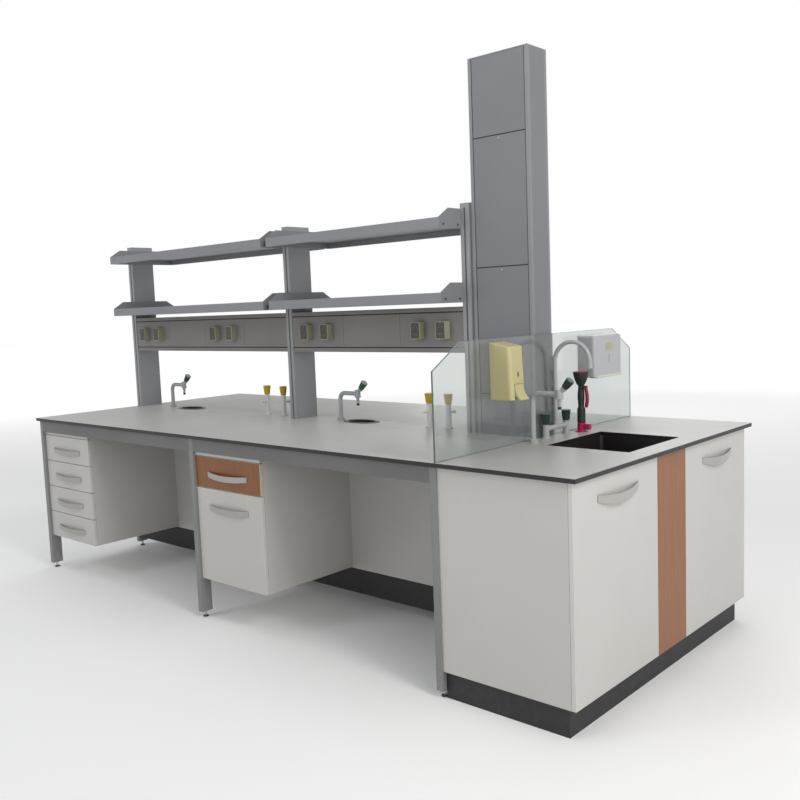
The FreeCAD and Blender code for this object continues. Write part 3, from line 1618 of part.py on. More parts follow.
def check_and_write():
    """Stop at any failed object, then write every sub-part to its own file."""
    doc.recompute()
    failed = [item.Name for item in doc.Objects if {"Invalid", "Error"} & set(item.State)]
    if failed:
        raise RuntimeError(f"failed objects: {failed}")
    labels = [thing.Label for thing in nodes]
    if len(set(labels)) != len(labels):
        raise RuntimeError("two sub-parts share a label")
    for thing in nodes:
        if thing.Shape.isNull() or not thing.Shape.isValid() or not thing.Shape.Solids:
            raise RuntimeError(f"bad shape: {thing.Label}")
    os.makedirs("parts", exist_ok=True)
    for thing in nodes:
        thing.Shape.exportStep(f"parts/{thing.Label}.step")


build_worktops()
build_frames()
build_rails()
build_feet()
build_spine()
build_plinths()
build_pedestals()
build_runners()
build_drawers()
build_cupboard_doors()
build_sink_cabinet()
build_sink_doors()
build_hinges()
build_basin()
build_cups()
build_waste()
build_uprights()
build_shelves()
build_raceways()
build_sockets()
build_column()
build_glass()
build_taps()
build_gas_taps()
build_mixer()
build_spout()
build_eyewash()
build_soap()
build_towel()
check_and_write()
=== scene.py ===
import contextlib
import math

import bmesh
import bpy
from mathutils import Matrix, Vector


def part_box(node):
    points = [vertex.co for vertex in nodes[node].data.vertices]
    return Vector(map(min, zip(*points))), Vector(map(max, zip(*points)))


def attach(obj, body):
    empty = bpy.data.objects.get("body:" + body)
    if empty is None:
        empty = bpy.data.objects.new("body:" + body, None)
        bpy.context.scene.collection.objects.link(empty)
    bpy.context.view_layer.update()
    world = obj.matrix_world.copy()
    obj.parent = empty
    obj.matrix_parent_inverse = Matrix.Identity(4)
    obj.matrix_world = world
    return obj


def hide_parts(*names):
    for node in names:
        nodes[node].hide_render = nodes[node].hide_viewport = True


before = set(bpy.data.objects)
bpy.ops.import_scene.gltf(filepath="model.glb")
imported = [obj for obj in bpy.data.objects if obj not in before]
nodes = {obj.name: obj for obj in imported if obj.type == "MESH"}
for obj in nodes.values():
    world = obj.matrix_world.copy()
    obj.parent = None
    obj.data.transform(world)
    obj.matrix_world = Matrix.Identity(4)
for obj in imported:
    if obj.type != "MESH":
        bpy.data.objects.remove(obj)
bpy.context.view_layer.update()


# Camera, floor and studio light

def rolled_view(yaw, pitch, roll):
    """The turn of a camera that looks along +Y at yaw 0, turned left, tipped up and rolled by degrees."""
    yaw, pitch, roll = (math.radians(angle) for angle in (yaw, pitch, roll))
    ahead = Vector((
        -math.sin(yaw) * math.cos(pitch), math.cos(yaw) * math.cos(pitch), math.sin(pitch),
    ))
    level = Vector((math.cos(yaw), math.sin(yaw), 0))
    upward = level.cross(ahead)
    across = level * math.cos(roll) + upward * math.sin(roll)
    over = upward * math.cos(roll) - level * math.sin(roll)
    return Matrix((across, over, -ahead)).transposed().to_euler()


CAMERA_PLACE = (3.286, -3.2063, 1.4674)
CAMERA_TURN = (42.007, -5.916, -2.181)
CAMERA_LENS = 40.28
CAMERA_SENSOR = 36

camera_data = bpy.data.cameras.new("studio_camera")
camera_data.lens = CAMERA_LENS
camera_data.sensor_width = CAMERA_SENSOR
camera = bpy.data.objects.new("studio_camera", camera_data)
camera.location = CAMERA_PLACE
camera.rotation_euler = rolled_view(*CAMERA_TURN)
bpy.context.scene.collection.objects.link(camera)
bpy.context.scene.camera = camera
bpy.context.scene.view_settings.view_transform = "Standard"


def softbox(name, place, aim, size, power, tint=(1, 1, 1)):
    """A square studio light at a place, facing the point that it is aimed at."""
    data = bpy.data.lights.new(name, "AREA")
    data.size = size
    data.energy = power
    data.color = tint
    lamp = bpy.data.objects.new(name, data)
    lamp.location = place
    facing = Vector(aim) - Vector(place)
    lamp.rotation_euler = facing.to_track_quat("-Z", "Y").to_euler()
    bpy.context.scene.collection.objects.link(lamp)


softbox("key_softbox", (7.0, -2.5, 2.9), (0.8, 0, 0.8), 4.5, 155, (1, 0.985, 0.96))
softbox("end_lamp", (6.0, -1.6, 5.0), (1.8, 0, 0.7), 1.4, 112, (1, 0.985, 0.96))
softbox("front_softbox", (-2.5, -7.2, 3.2), (0, 0, 0.8), 5.0, 49, (0.96, 0.98, 1))
softbox("front_lamp", (-1.6, -5.2, 5.0), (-0.4, -0.7, 0.7), 1.4, 34, (0.96, 0.98, 1))
softbox("back_softbox", (-3.0, 7.5, 4.0), (0, 0, 0.9), 5.0, 110)
softbox("overhead_softbox", (-1.2, 0, 6.4), (-0.5, 0, 0), 7.0, 125)


# Shader building

def step(tree, kind, inputs=(), **settings):
    """One shader node; each input is a plain value or the output of another node."""
    made = tree.nodes.new("ShaderNode" + kind)
    for key, value in settings.items():
        setattr(made, key, value)
    for key, value in dict(inputs).items():
        if isinstance(value, bpy.types.NodeSocket):
            tree.links.new(value, made.inputs[key])
        else:
            made.inputs[key].default_value = value
    return made


def sum_up(tree, operation, first, second=0.0, third=0.0, clamp=False):
    """The result of one arithmetic node."""
    made = step(tree, "Math", {0: first, 1: second, 2: third}, operation=operation)
    made.use_clamp = clamp
    return made.outputs[0]


def ramp(tree, value, low, high):
    """The value stretched so that low becomes 0 and high becomes 1."""
    return step(tree, "MapRange", {"Value": value, "From Min": low, "From Max": high}).outputs[0]


def blend(tree, share, first, second, how="MIX"):
    """Two colours mixed by a share."""
    made = step(tree, "Mix", {0: share, 6: first, 7: second}, data_type="RGBA", blend_type=how)
    return made.outputs[2]


def noise(tree, place, scale, detail=2.0, roughness=0.5):
    """A noise value over the surface."""
    return step(
        tree, "TexNoise", {"Vector": place, "Scale": scale, "Detail": detail, "Roughness": roughness}
    ).outputs[0]


def stretched(tree, factors, turn=(0, 0, 0)):
    """Object coordinates, turned and then scaled along each axis."""
    place = step(tree, "TexCoord").outputs["Object"]
    return step(tree, "Mapping", {"Vector": place, "Rotation": turn, "Scale": factors}).outputs[0]


def open_group(name, inputs, outputs):
    """A shader group with named sockets, as its tree, the outputs of its entry and the inputs of its exit."""
    group = bpy.data.node_groups.new(name, "ShaderNodeTree")
    for label, kind, value in inputs:
        group.interface.new_socket(label, in_out="INPUT", socket_type=kind).default_value = value
    for label, kind in outputs:
        group.interface.new_socket(label, in_out="OUTPUT", socket_type=kind)
    entry = group.nodes.new("NodeGroupInput")
    leaving = group.nodes.new("NodeGroupOutput")
    return group, entry.outputs, leaving.inputs


FLOAT = "NodeSocketFloat"
COLOUR = "NodeSocketColor"
VECTOR = "NodeSocketVector"


def rounded_edges_group():
    """Normals that round every arris over a radius, and the places where it has worn."""
    group, given, result = open_group(
        "rounded_edges", [("Radius", FLOAT, 0.0012), ("Reach", FLOAT, 3.0)],
        [("Normal", VECTOR), ("Wear", FLOAT)],
    )
    soft = step(group, "Bevel", {"Radius": given["Radius"]}, samples=4).outputs[0]
    flat = step(group, "NewGeometry").outputs["True Normal"]
    facing = step(group, "VectorMath", {0: soft, 1: flat}, operation="DOT_PRODUCT").outputs["Value"]
    turned_away = sum_up(group, "SUBTRACT", 1.0, facing)
    patchy = noise(group, stretched(group, (1, 1, 1)), 46, 3)
    strength = sum_up(group, "MULTIPLY", turned_away, given["Reach"])
    worn = sum_up(group, "SUBTRACT", strength, patchy)
    group.links.new(soft, result["Normal"])
    group.links.new(ramp(group, worn, 0.0, 0.35), result["Wear"])
    return group


def fine_grain_group():
    """The close texture of a coated or moulded face, as height, and the slow drift of its shade."""
    group, given, result = open_group(
        "fine_grain", [("Scale", FLOAT, 600.0), ("Cloud Scale", FLOAT, 1.6)],
        [("Height", FLOAT), ("Cloud", FLOAT), ("Speck", FLOAT)],
    )
    place = stretched(group, (1, 1, 1))
    height = noise(group, place, given["Scale"], 2, 0.55)
    cloud = noise(group, place, given["Cloud Scale"], 4, 0.6)
    speck = noise(group, place, sum_up(group, "MULTIPLY", given["Scale"], 1.7), 1, 0.4)
    group.links.new(height, result["Height"])
    group.links.new(ramp(group, cloud, 0.3, 0.7), result["Cloud"])
    group.links.new(ramp(group, speck, 0.60, 0.74), result["Speck"])
    return group


def settled_dust_group():
    """Thin dust on faces that look up, and dirt thrown up near the floor."""
    group, given, result = open_group(
        "settled_dust", [("Amount", FLOAT, 0.4)], [("Mask", FLOAT)],
    )
    upward = step(
        group, "SeparateXYZ", {0: step(group, "NewGeometry").outputs["Normal"]}
    ).outputs["Z"]
    place = step(group, "TexCoord").outputs["Object"]
    height = step(group, "SeparateXYZ", {0: place}).outputs["Z"]
    low = step(group, "MapRange", {
        "Value": height, "From Min": 0.0, "From Max": 0.22, "To Min": 1.0, "To Max": 0.0,
    }).outputs[0]
    patches = ramp(group, noise(group, place, 9, 6, 0.65), 0.35, 0.8)
    lying = sum_up(group, "MULTIPLY", ramp(group, upward, 0.6, 1.0), patches)
    thrown = sum_up(group, "MULTIPLY", low, ramp(group, noise(group, place, 30, 5, 0.7), 0.45, 0.75))
    both = sum_up(group, "ADD", lying, thrown)
    group.links.new(sum_up(group, "MULTIPLY", both, given["Amount"], clamp=True), result["Mask"])
    return group


def hairlines_group():
    """Fine scratches of use in two directions."""
    group, given, result = open_group(
        "hairlines", [("Fineness", FLOAT, 1.0)], [("Mask", FLOAT)],
    )
    masks = []
    for factors, turn in (((3, 260, 3), (0.2, 0.3, 0.5)), ((240, 4, 4), (0.4, 0.1, -0.3))):
        lines = noise(group, stretched(group, factors, turn), given["Fineness"], 3, 0.6)
        masks.append(ramp(group, lines, 0.66, 0.72))
    group.links.new(sum_up(group, "MAXIMUM", *masks), result["Mask"])
    return group


def wood_figure_group():
    """Straight wood figure along one axis: broad bands, pores and their depth."""
    group, given, result = open_group(
        "wood_figure",
        [("Place", VECTOR, (0, 0, 0)), ("Light", COLOUR, (1, 1, 1, 1)), ("Dark", COLOUR, (0, 0, 0, 1))],
        [("Color", COLOUR), ("Depth", FLOAT)],
    )
    wavering = step(group, "TexNoise", {"Vector": given["Place"], "Scale": 1.4, "Detail": 3.0})
    sway = step(group, "VectorMath", {0: wavering.outputs[1], 1: (0.5, 0.5, 0.5)}, operation="SUBTRACT")
    moved = step(group, "VectorMath", {0: given["Place"], 1: sway.outputs[0]}, operation="ADD").outputs[0]
    bands = noise(group, moved, 5, 5, 0.62)
    pores = step(group, "Mapping", {"Vector": given["Place"], "Scale": (14, 14, 5)}).outputs[0]
    pore = ramp(group, noise(group, pores, 6, 3, 0.5), 0.56, 0.74)
    broad = ramp(group, bands, 0.32, 0.68)
    broad_share = sum_up(group, "MULTIPLY", broad, 0.75)
    shade = sum_up(group, "ADD", broad_share, sum_up(group, "MULTIPLY", pore, 0.35), clamp=True)
    group.links.new(blend(group, shade, given["Light"], given["Dark"]), result["Color"])
    group.links.new(sum_up(group, "SUBTRACT", 1.0, pore), result["Depth"])
    return group


ROUNDED_EDGES = rounded_edges_group()
FINE_GRAIN = fine_grain_group()
SETTLED_DUST = settled_dust_group()
HAIRLINES = hairlines_group()
WOOD_FIGURE = wood_figure_group()


def use(tree, group, **inputs):
    """A shader group placed in a material with its own values."""
    placed = tree.nodes.new("ShaderNodeGroup")
    placed.node_tree = group
    for label, value in inputs.items():
        socket = placed.inputs[label.replace("_", " ")]
        if isinstance(value, bpy.types.NodeSocket):
            tree.links.new(value, socket)
        else:
            socket.default_value = value
    return placed.outputs


def rgb(red, green, blue):
    """An opaque colour."""
    return (red, green, blue, 1)


DUST = rgb(0.46, 0.44, 0.40)


def surface(name, base, shade, gloss, grain, depth, radius=0.0012, bare=None, wear=0.35, dust=0.25,
            metallic=0.0, specks=0.0, scratches=0.15, coat=0.0, figure=None):
    """A coated, moulded or boarded surface.

    It drifts from base to shade, has its own close texture, worn arrises, dust and hairline
    scratches. Gloss is the pair of roughness limits between which it varies."""
    material = bpy.data.materials.new(name)
    material.use_nodes = True
    tree = material.node_tree
    shader = tree.nodes["Principled BSDF"]
    edges = use(tree, ROUNDED_EDGES, Radius=radius)
    close = use(tree, FINE_GRAIN, Scale=grain)
    colour = blend(tree, close["Cloud"], rgb(*base), rgb(*shade))
    bumps = close["Height"]
    if figure is not None:
        colour, bumps = figure(tree, colour)
    if specks:
        lighter = tuple(min(1.0, part * 1.35 + 0.03) for part in base)
        share = sum_up(tree, "MULTIPLY", close["Speck"], specks)
        colour = blend(tree, share, colour, rgb(*lighter))
    lines = sum_up(tree, "MULTIPLY", use(tree, HAIRLINES)["Mask"], scratches)
    colour = blend(tree, lines, colour, rgb(*[part * 0.8 for part in base]))
    if bare is not None:
        colour = blend(tree, sum_up(tree, "MULTIPLY", edges["Wear"], wear), colour, rgb(*bare))
    fallen = use(tree, SETTLED_DUST, Amount=dust)["Mask"]
    colour = blend(tree, fallen, colour, DUST)
    tree.links.new(colour, shader.inputs["Base Color"])
    slow = sum_up(tree, "MULTIPLY", close["Cloud"], 0.6)
    uneven = sum_up(tree, "ADD", slow, sum_up(tree, "MULTIPLY", close["Height"], 0.4))
    rough = step(tree, "MapRange", {"Value": uneven, "To Min": gloss[0], "To Max": gloss[1]}).outputs[0]
    rough = sum_up(tree, "ADD", rough, sum_up(tree, "MULTIPLY", fallen, 0.3), clamp=True)
    tree.links.new(rough, shader.inputs["Roughness"])
    relief = step(tree, "Bump", {
        "Strength": 0.5, "Distance": depth, "Height": bumps, "Normal": edges["Normal"],
    }).outputs[0]
    tree.links.new(relief, shader.inputs["Normal"])
    shader.inputs["Metallic"].default_value = metallic
    shader.inputs["Coat Weight"].default_value = coat
    return material


def moulded(name, base, shade, gloss=(0.28, 0.42), radius=0.0008):
    """A small moulded plastic piece."""
    return surface(name, base, shade, gloss, 500, 0.0002, radius)


def cherry_figure(light, dark, turn=(0, 0, 0)):
    """A cherry figure between two tones, its grain along Z or turned from it."""
    def figure(tree, colour):
        place = stretched(tree, (26, 26, 1.6), turn)
        wood = use(tree, WOOD_FIGURE, Place=place, Light=rgb(*light), Dark=rgb(*dark))
        return blend(tree, 0.18, wood["Color"], colour), wood["Depth"]
    return figure


white_board = surface(
    "white_board", (0.53, 0.52, 0.50), (0.50, 0.49, 0.47), (0.34, 0.46), 750, 0.00012,
    bare=(0.50, 0.46, 0.38), wear=0.3, dust=0.12, scratches=0.04,
)
edge_band = surface(
    "edge_band", (0.56, 0.51, 0.40), (0.50, 0.45, 0.34), (0.30, 0.42), 400, 0.0001, dust=0.1,
)
cherry_upright = surface(
    "cherry_upright", (0.262, 0.110, 0.043), (0.200, 0.076, 0.028), (0.34, 0.48), 500, 0.00015,
    dust=0.12, scratches=0.05, figure=cherry_figure((0.298, 0.123, 0.049), (0.190, 0.069, 0.025)),
)
plinth_board = surface(
    "plinth_board", (0.022, 0.0207, 0.0235), (0.0165, 0.0156, 0.0184), (0.50, 0.62), 500, 0.0002,
    bare=(0.10, 0.094, 0.092), wear=0.2, dust=0.04, scratches=0.08,
)
frame_coat = surface(
    "frame_coat", (0.228, 0.231, 0.231), (0.190, 0.193, 0.194), (0.42, 0.56), 420, 0.0006,
    bare=(0.36, 0.36, 0.36), wear=0.35, dust=0.3,
)
# A darker copy of the frame paint for the aprons: painted shade, standing in for the shadow that the
# overhanging worktop casts on them.
apron_coat_painted_shade = surface(
    "apron_coat_painted_shade", (0.155, 0.155, 0.157), (0.130, 0.130, 0.132), (0.42, 0.56), 420, 0.0006,
    bare=(0.32, 0.32, 0.32), wear=0.35, dust=0.25,
)
rack_coat = surface(
    "rack_coat", (0.262, 0.268, 0.280), (0.228, 0.234, 0.247), (0.36, 0.50), 650, 0.00018,
    bare=(0.42, 0.43, 0.44), wear=0.45, dust=0.22, metallic=0.15,
)
# A lighter copy of the rack paint for the uprights: painted light, making them brighter than the shelves that
# carry the same paint.
post_coat_painted_light = surface(
    "post_coat_painted_light", (0.335, 0.343, 0.354), (0.294, 0.301, 0.314), (0.36, 0.50), 650, 0.00018,
    bare=(0.46, 0.47, 0.48), wear=0.45, dust=0.22, metallic=0.15,
)
panel_coat = surface(
    "panel_coat", (0.205, 0.210, 0.226), (0.185, 0.190, 0.205), (0.40, 0.54), 500, 0.00018,
    bare=(0.40, 0.40, 0.42), wear=0.35, dust=0.2, metallic=0.1,
)
rack_cover = surface(
    "rack_cover", (0.225, 0.219, 0.210), (0.195, 0.190, 0.182), (0.40, 0.54), 520, 0.0004,
    bare=(0.36, 0.35, 0.33), wear=0.4, dust=0.2, metallic=0.1,
)
basin_black = surface(
    "basin_black", (0.018, 0.015, 0.015), (0.010, 0.009, 0.009), (0.28, 0.46), 380, 0.0004,
    dust=0.06, scratches=0.4,
)
drain_plastic = surface(
    "drain_plastic", (0.33, 0.33, 0.335), (0.27, 0.27, 0.28), (0.35, 0.5), 400, 0.0003, dust=0.35,
)
runner_zinc = surface(
    "runner_zinc", (0.62, 0.63, 0.64), (0.50, 0.51, 0.53), (0.24, 0.40), 300, 0.0002,
    dust=0.15, metallic=0.9, scratches=0.3,
)
tap_coat = surface(
    "tap_coat", (0.40, 0.42, 0.425), (0.34, 0.36, 0.37), (0.28, 0.42), 380, 0.0003,
    bare=(0.50, 0.46, 0.34), wear=0.35, dust=0.1, radius=0.0008,
)
gas_coat = surface(
    "gas_coat", (0.72, 0.73, 0.73), (0.66, 0.67, 0.67), (0.26, 0.38), 380, 0.0003, dust=0.1, radius=0.0008,
)
green_plastic = moulded("green_plastic", (0.030, 0.135, 0.052), (0.020, 0.095, 0.040))
dark_plastic = moulded("dark_plastic", (0.022, 0.045, 0.043), (0.014, 0.030, 0.030))
yellow_plastic = moulded("yellow_plastic", (0.58, 0.42, 0.018), (0.48, 0.36, 0.016))
red_plastic = surface(
    "red_plastic", (0.46, 0.008, 0.070), (0.36, 0.006, 0.055), (0.24, 0.36), 450, 0.0002, radius=0.0008,
)
black_rubber = surface(
    "black_rubber", (0.020, 0.023, 0.021), (0.013, 0.015, 0.014), (0.50, 0.68), 600, 0.0004, radius=0.0008,
)
soap_plastic = surface(
    "soap_plastic", (0.525, 0.470, 0.238), (0.465, 0.415, 0.208), (0.26, 0.38), 420, 0.0002, dust=0.12,
)
towel_plastic = surface(
    "towel_plastic", (0.46, 0.465, 0.48), (0.42, 0.425, 0.44), (0.26, 0.38), 420, 0.0002, dust=0.15,
)
socket_plastic = surface(
    "socket_plastic", (0.34, 0.34, 0.225), (0.29, 0.29, 0.195), (0.30, 0.42), 420, 0.0002, dust=0.15,
)
white_edge = surface(
    "white_edge", (0.60, 0.585, 0.55), (0.56, 0.545, 0.51), (0.30, 0.42), 400, 0.0001, dust=0.1,
)
cherry_across = surface(
    "cherry_across", (0.228, 0.086, 0.024), (0.174, 0.060, 0.015), (0.34, 0.48), 500, 0.00015,
    dust=0.06, scratches=0.05,
    figure=cherry_figure((0.262, 0.098, 0.027), (0.167, 0.055, 0.013), (0, math.radians(90), 0)),
)
handle_coat = surface(
    "handle_coat", (0.38, 0.372, 0.352), (0.335, 0.328, 0.31), (0.26, 0.38), 500, 0.0002,
    dust=0.1, radius=0.0006,
)
lever_red = surface(
    "lever_red", (0.26, 0.008, 0.022), (0.19, 0.006, 0.016), (0.26, 0.38), 450, 0.0002, radius=0.0006,
)
sight_dark = surface(
    "sight_dark", (0.10, 0.045, 0.025), (0.06, 0.025, 0.015), (0.14, 0.24), 300, 0.0001, coat=0.4,
)
# Near-black for the strips in the panel joints and raceway grooves: painted shadow, standing in for the shade
# inside those gaps.
gap_shadow_dark = surface(
    "gap_shadow_dark", (0.022, 0.022, 0.025), (0.014, 0.014, 0.016), (0.5, 0.65), 400, 0.0001, dust=0.1,
)
screw_dark = surface(
    "screw_dark", (0.10, 0.10, 0.105), (0.07, 0.07, 0.075), (0.30, 0.42), 300, 0.0001, dust=0.1, metallic=0.8,
)
cap_dark = moulded("cap_dark", (0.10, 0.17, 0.15), (0.08, 0.14, 0.12), (0.24, 0.36), 0.0005)
cap_grey = moulded("cap_grey", (0.42, 0.45, 0.44), (0.36, 0.39, 0.38), (0.26, 0.38), 0.0005)
lock_plate = moulded("lock_plate", (0.44, 0.43, 0.32), (0.38, 0.37, 0.27), (0.26, 0.38), 0.0005)
chin_plastic = surface(
    "chin_plastic", (0.64, 0.63, 0.57), (0.58, 0.57, 0.51), (0.26, 0.38), 500, 0.0002, dust=0.1,
)
socket_dark = surface(
    "socket_dark", (0.075, 0.070, 0.052), (0.030, 0.030, 0.028), (0.30, 0.44), 260, 0.0004,
    specks=0.6, radius=0.0005,
)


def worktop_of(name, base, shade):
    """Speckled pale laminate on the upper face, and the dark core that shows at every edge."""
    def figure(tree, colour):
        facing = step(tree, "SeparateXYZ", {0: step(tree, "NewGeometry").outputs["True Normal"]}).outputs["Z"]
        upper = ramp(tree, facing, 0.6, 0.8)
        core = use(tree, FINE_GRAIN, Scale=700, Cloud_Scale=3)
        dark = blend(tree, core["Cloud"], rgb(0.012, 0.012, 0.014), rgb(0.007, 0.007, 0.008))
        speckle = use(tree, FINE_GRAIN, Scale=900)["Speck"]
        share = sum_up(tree, "MULTIPLY", speckle, 0.25)
        return blend(tree, upper, dark, blend(tree, share, colour, rgb(0.70, 0.70, 0.69))), core["Height"]
    return surface(name, base, shade, (0.34, 0.48), 900, 0.00008, dust=0.08, scratches=0.03, figure=figure)


worktop = worktop_of("worktop", (0.515, 0.515, 0.50), (0.48, 0.48, 0.465))
# The sink top is the same laminate made darker: painted shade for the light falling off towards that end of
# the bench.
sink_top_painted_shade = worktop_of("sink_top_painted_shade", (0.435, 0.43, 0.42), (0.405, 0.40, 0.39))


def glass_of(name):
    """Clear toughened glass for the faces of a pane; its deep grey-green cut edges are finished apart."""
    material = bpy.data.materials.new(name)
    material.use_nodes = True
    tree = material.node_tree
    shader = tree.nodes["Principled BSDF"]
    smears = use(tree, FINE_GRAIN, Scale=40, Cloud_Scale=5)
    pane = blend(tree, smears["Cloud"], rgb(0.70, 0.735, 0.72), rgb(0.67, 0.71, 0.695))
    tree.links.new(pane, shader.inputs["Base Color"])
    film = step(tree, "MapRange", {"Value": smears["Cloud"], "To Min": 0.0, "To Max": 0.05}).outputs[0]
    tree.links.new(film, shader.inputs["Roughness"])
    shader.inputs["Transmission Weight"].default_value = 0.93
    shader.inputs["IOR"].default_value = 1.3
    shader.inputs["Coat Weight"].default_value = 0.6
    shader.inputs["Coat Roughness"].default_value = 0.45
    return material


clear_glass = glass_of("clear_glass")
cut_glass = surface(
    "cut_glass", (0.085, 0.115, 0.108), (0.060, 0.085, 0.078), (0.12, 0.22), 300, 0.0001, dust=0.0, coat=0.5,
)


FINISHES = {
    "bench_worktops": worktop, "spine_top": worktop, "sink_worktop": sink_top_painted_shade,
    "leg_frames": frame_coat, "aprons": apron_coat_painted_shade, "spine_panels": white_board,
    "plinths": plinth_board, "drawer_pedestals": white_board, "cupboard_pedestals": white_board,
    "drawer_runners": runner_zinc, "door_hinges": runner_zinc, "sink_cabinet": white_board,
    "service_panel": cherry_upright, "waste_pipes": drain_plastic, "uprights": post_coat_painted_light,
    "shelves": rack_coat, "shelf_end_plates": rack_coat, "raceways": rack_cover,
    "column_frame": rack_coat, "column_panels": panel_coat, "tap_bodies": tap_coat,
    "gas_tap_bodies": gas_coat, "mixer_body": tap_coat, "mixer_spout": tap_coat,
    "eyewash_base": red_plastic, "soap_backplate": soap_plastic, "towel_base": towel_plastic,
}
for node_name, material in FINISHES.items():
    for spot in nodes[node_name].material_slots:
        spot.material = material


# Modelling by hand

BLOCK_SIZE = 1


def select_only(piece):
    """Only this piece is selected and active."""
    bpy.ops.object.select_all(action="DESELECT")
    piece.select_set(True)
    bpy.context.view_layer.objects.active = piece


def begin(name):
    """The primitive just added, under a name, its place and size put into its mesh."""
    piece = bpy.context.active_object
    piece.name = name
    piece.data.name = name
    bpy.ops.object.transform_apply(location=True, rotation=True, scale=True)
    return piece


def start_block(name, low, high):
    """A block between two corners, ready to be shaped."""
    bpy.ops.object.select_all(action="DESELECT")
    low, high = Vector(low), Vector(high)
    bpy.ops.mesh.primitive_cube_add(size=BLOCK_SIZE, location=(low + high) / 2)
    bpy.context.active_object.scale = high - low
    return begin(name)


@contextlib.contextmanager
def edit(piece):
    """Edit mode on one piece."""
    select_only(piece)
    bpy.ops.object.mode_set(mode="EDIT")
    yield
    bpy.ops.object.mode_set(mode="OBJECT")


def pick(piece, kind, test):
    """The faces, by middle and normal, or edges, by middle and direction, that pass are selected."""
    bpy.ops.mesh.select_all(action="DESELECT")
    bpy.ops.mesh.select_mode(type=kind)
    mesh = bmesh.from_edit_mesh(piece.data)
    if kind == "FACE":
        for face in mesh.faces:
            face.select_set(bool(test(face.calc_center_median(), face.normal)))
    else:
        for edge in mesh.edges:
            start, end = (corner.co for corner in edge.verts)
            edge.select_set(bool(test((start + end) / 2, (end - start).normalized())))
    mesh.select_flush_mode()
    bmesh.update_edit_mesh(piece.data)


def bevel(width, segments=2):
    """The selected edges rounded off."""
    bpy.ops.mesh.bevel(offset=width, offset_type="OFFSET", segments=segments, affect="EDGES")


def round_off(piece, test, width, segments):
    """The edges that pass the test rounded off."""
    pick(piece, "EDGE", test)
    bevel(width, segments)


def push(shift):
    """The selected faces extruded by a shift."""
    bpy.ops.mesh.extrude_region_move(TRANSFORM_OT_translate={"value": shift})


def resize(factors, about):
    """The selection made larger or smaller about a point."""
    bpy.ops.transform.resize(value=factors, center_override=about)


def pick_all():
    """Everything in edit mode selected."""
    bpy.ops.mesh.select_all(action="SELECT")


def bevel_all(piece, width, segments=2, angle=30):
    """Every sharp edge of a piece rounded off."""
    with edit(piece):
        bpy.ops.mesh.select_all(action="DESELECT")
        bpy.ops.mesh.select_mode(type="EDGE")
        bpy.ops.mesh.edges_select_sharp(sharpness=math.radians(angle))
        bevel(width, segments)


def cut_off(spot, facing):
    """All that lies beyond a plane is cut off, and the cut is closed."""
    pick_all()
    bpy.ops.mesh.bisect(plane_co=spot, plane_no=facing, clear_outer=True, use_fill=True)


def mark_across(spot, facing):
    """Edges are added where a plane crosses the piece."""
    pick_all()
    bpy.ops.mesh.bisect(plane_co=spot, plane_no=facing)


def give_wall(piece, thickness):
    """An open form given a wall, inwards."""
    wall = piece.modifiers.new("wall", "SOLIDIFY")
    wall.thickness = thickness
    wall.offset = -1
    wall.use_even_offset = True
    select_only(piece)
    bpy.ops.object.modifier_apply(modifier=wall.name)


def outward(piece):
    """All normals of a closed piece turned outward."""
    with edit(piece):
        pick_all()
        bpy.ops.mesh.normals_make_consistent(inside=False)


def turned(name, rings, sides=32):
    """A round upright piece about the origin: a disc pushed through rings, each a height and a radius."""
    (height, radius), *others = rings
    bpy.ops.object.select_all(action="DESELECT")
    bpy.ops.mesh.primitive_circle_add(
        vertices=sides, radius=radius, fill_type="NGON", location=(0, 0, height)
    )
    piece = begin(name)
    with edit(piece):
        pick_all()
        for next_height, next_radius in others:
            push((0, 0, next_height - height))
            share = next_radius / radius
            resize((share, share, 1), (0, 0, next_height))
            height, radius = next_height, next_radius
    outward(piece)
    return piece


def column_of(middle, columns):
    """The number of the column of faces round a turned piece that a face stands in."""
    return math.floor(math.atan2(middle.y, middle.x) / math.tau * columns)


def groove(piece, low, high, columns, depth_share):
    """Upright grooves between two heights of a turned piece: every fourth column is drawn inwards."""
    with edit(piece):
        pick(piece, "FACE", lambda middle, normal: (
            low < middle.z < high and abs(normal.z) < 0.7 and column_of(middle, columns) % 4 == 0
        ))
        resize((1 - depth_share, 1 - depth_share, 1), (0, 0, 0))


def set_at(piece, spot, turn=(0, 0, 0)):
    """A piece made at the origin, turned and moved to its spot."""
    piece.rotation_euler = [math.radians(angle) for angle in turn]
    piece.location = spot
    select_only(piece)
    bpy.ops.object.transform_apply(location=True, rotation=True, scale=True)


def join(name, pieces):
    """Pieces joined into one mesh."""
    bpy.ops.object.select_all(action="DESELECT")
    for piece in pieces:
        piece.select_set(True)
    bpy.context.view_layer.objects.active = pieces[0]
    if len(pieces) > 1:
        bpy.ops.object.join()
    pieces[0].name = name
    pieces[0].data.name = name
    return pieces[0]


def carve(piece, cutter):
    """The cutter's form taken out of a piece."""
    hollow = piece.modifiers.new("carve", "BOOLEAN")
    hollow.operation = "DIFFERENCE"
    hollow.solver = "EXACT"
    hollow.object = cutter
    select_only(piece)
    bpy.ops.object.modifier_apply(modifier=hollow.name)
    discard(cutter)


def coat(piece, material, test=None):
    """A finish over a whole piece, or only over the faces that pass the test."""
    piece.data.materials.append(material)
    if test is None:
        return
    index = len(piece.data.materials) - 1
    for face in piece.data.polygons:
        if test(face.center, face.normal):
            face.material_index = index


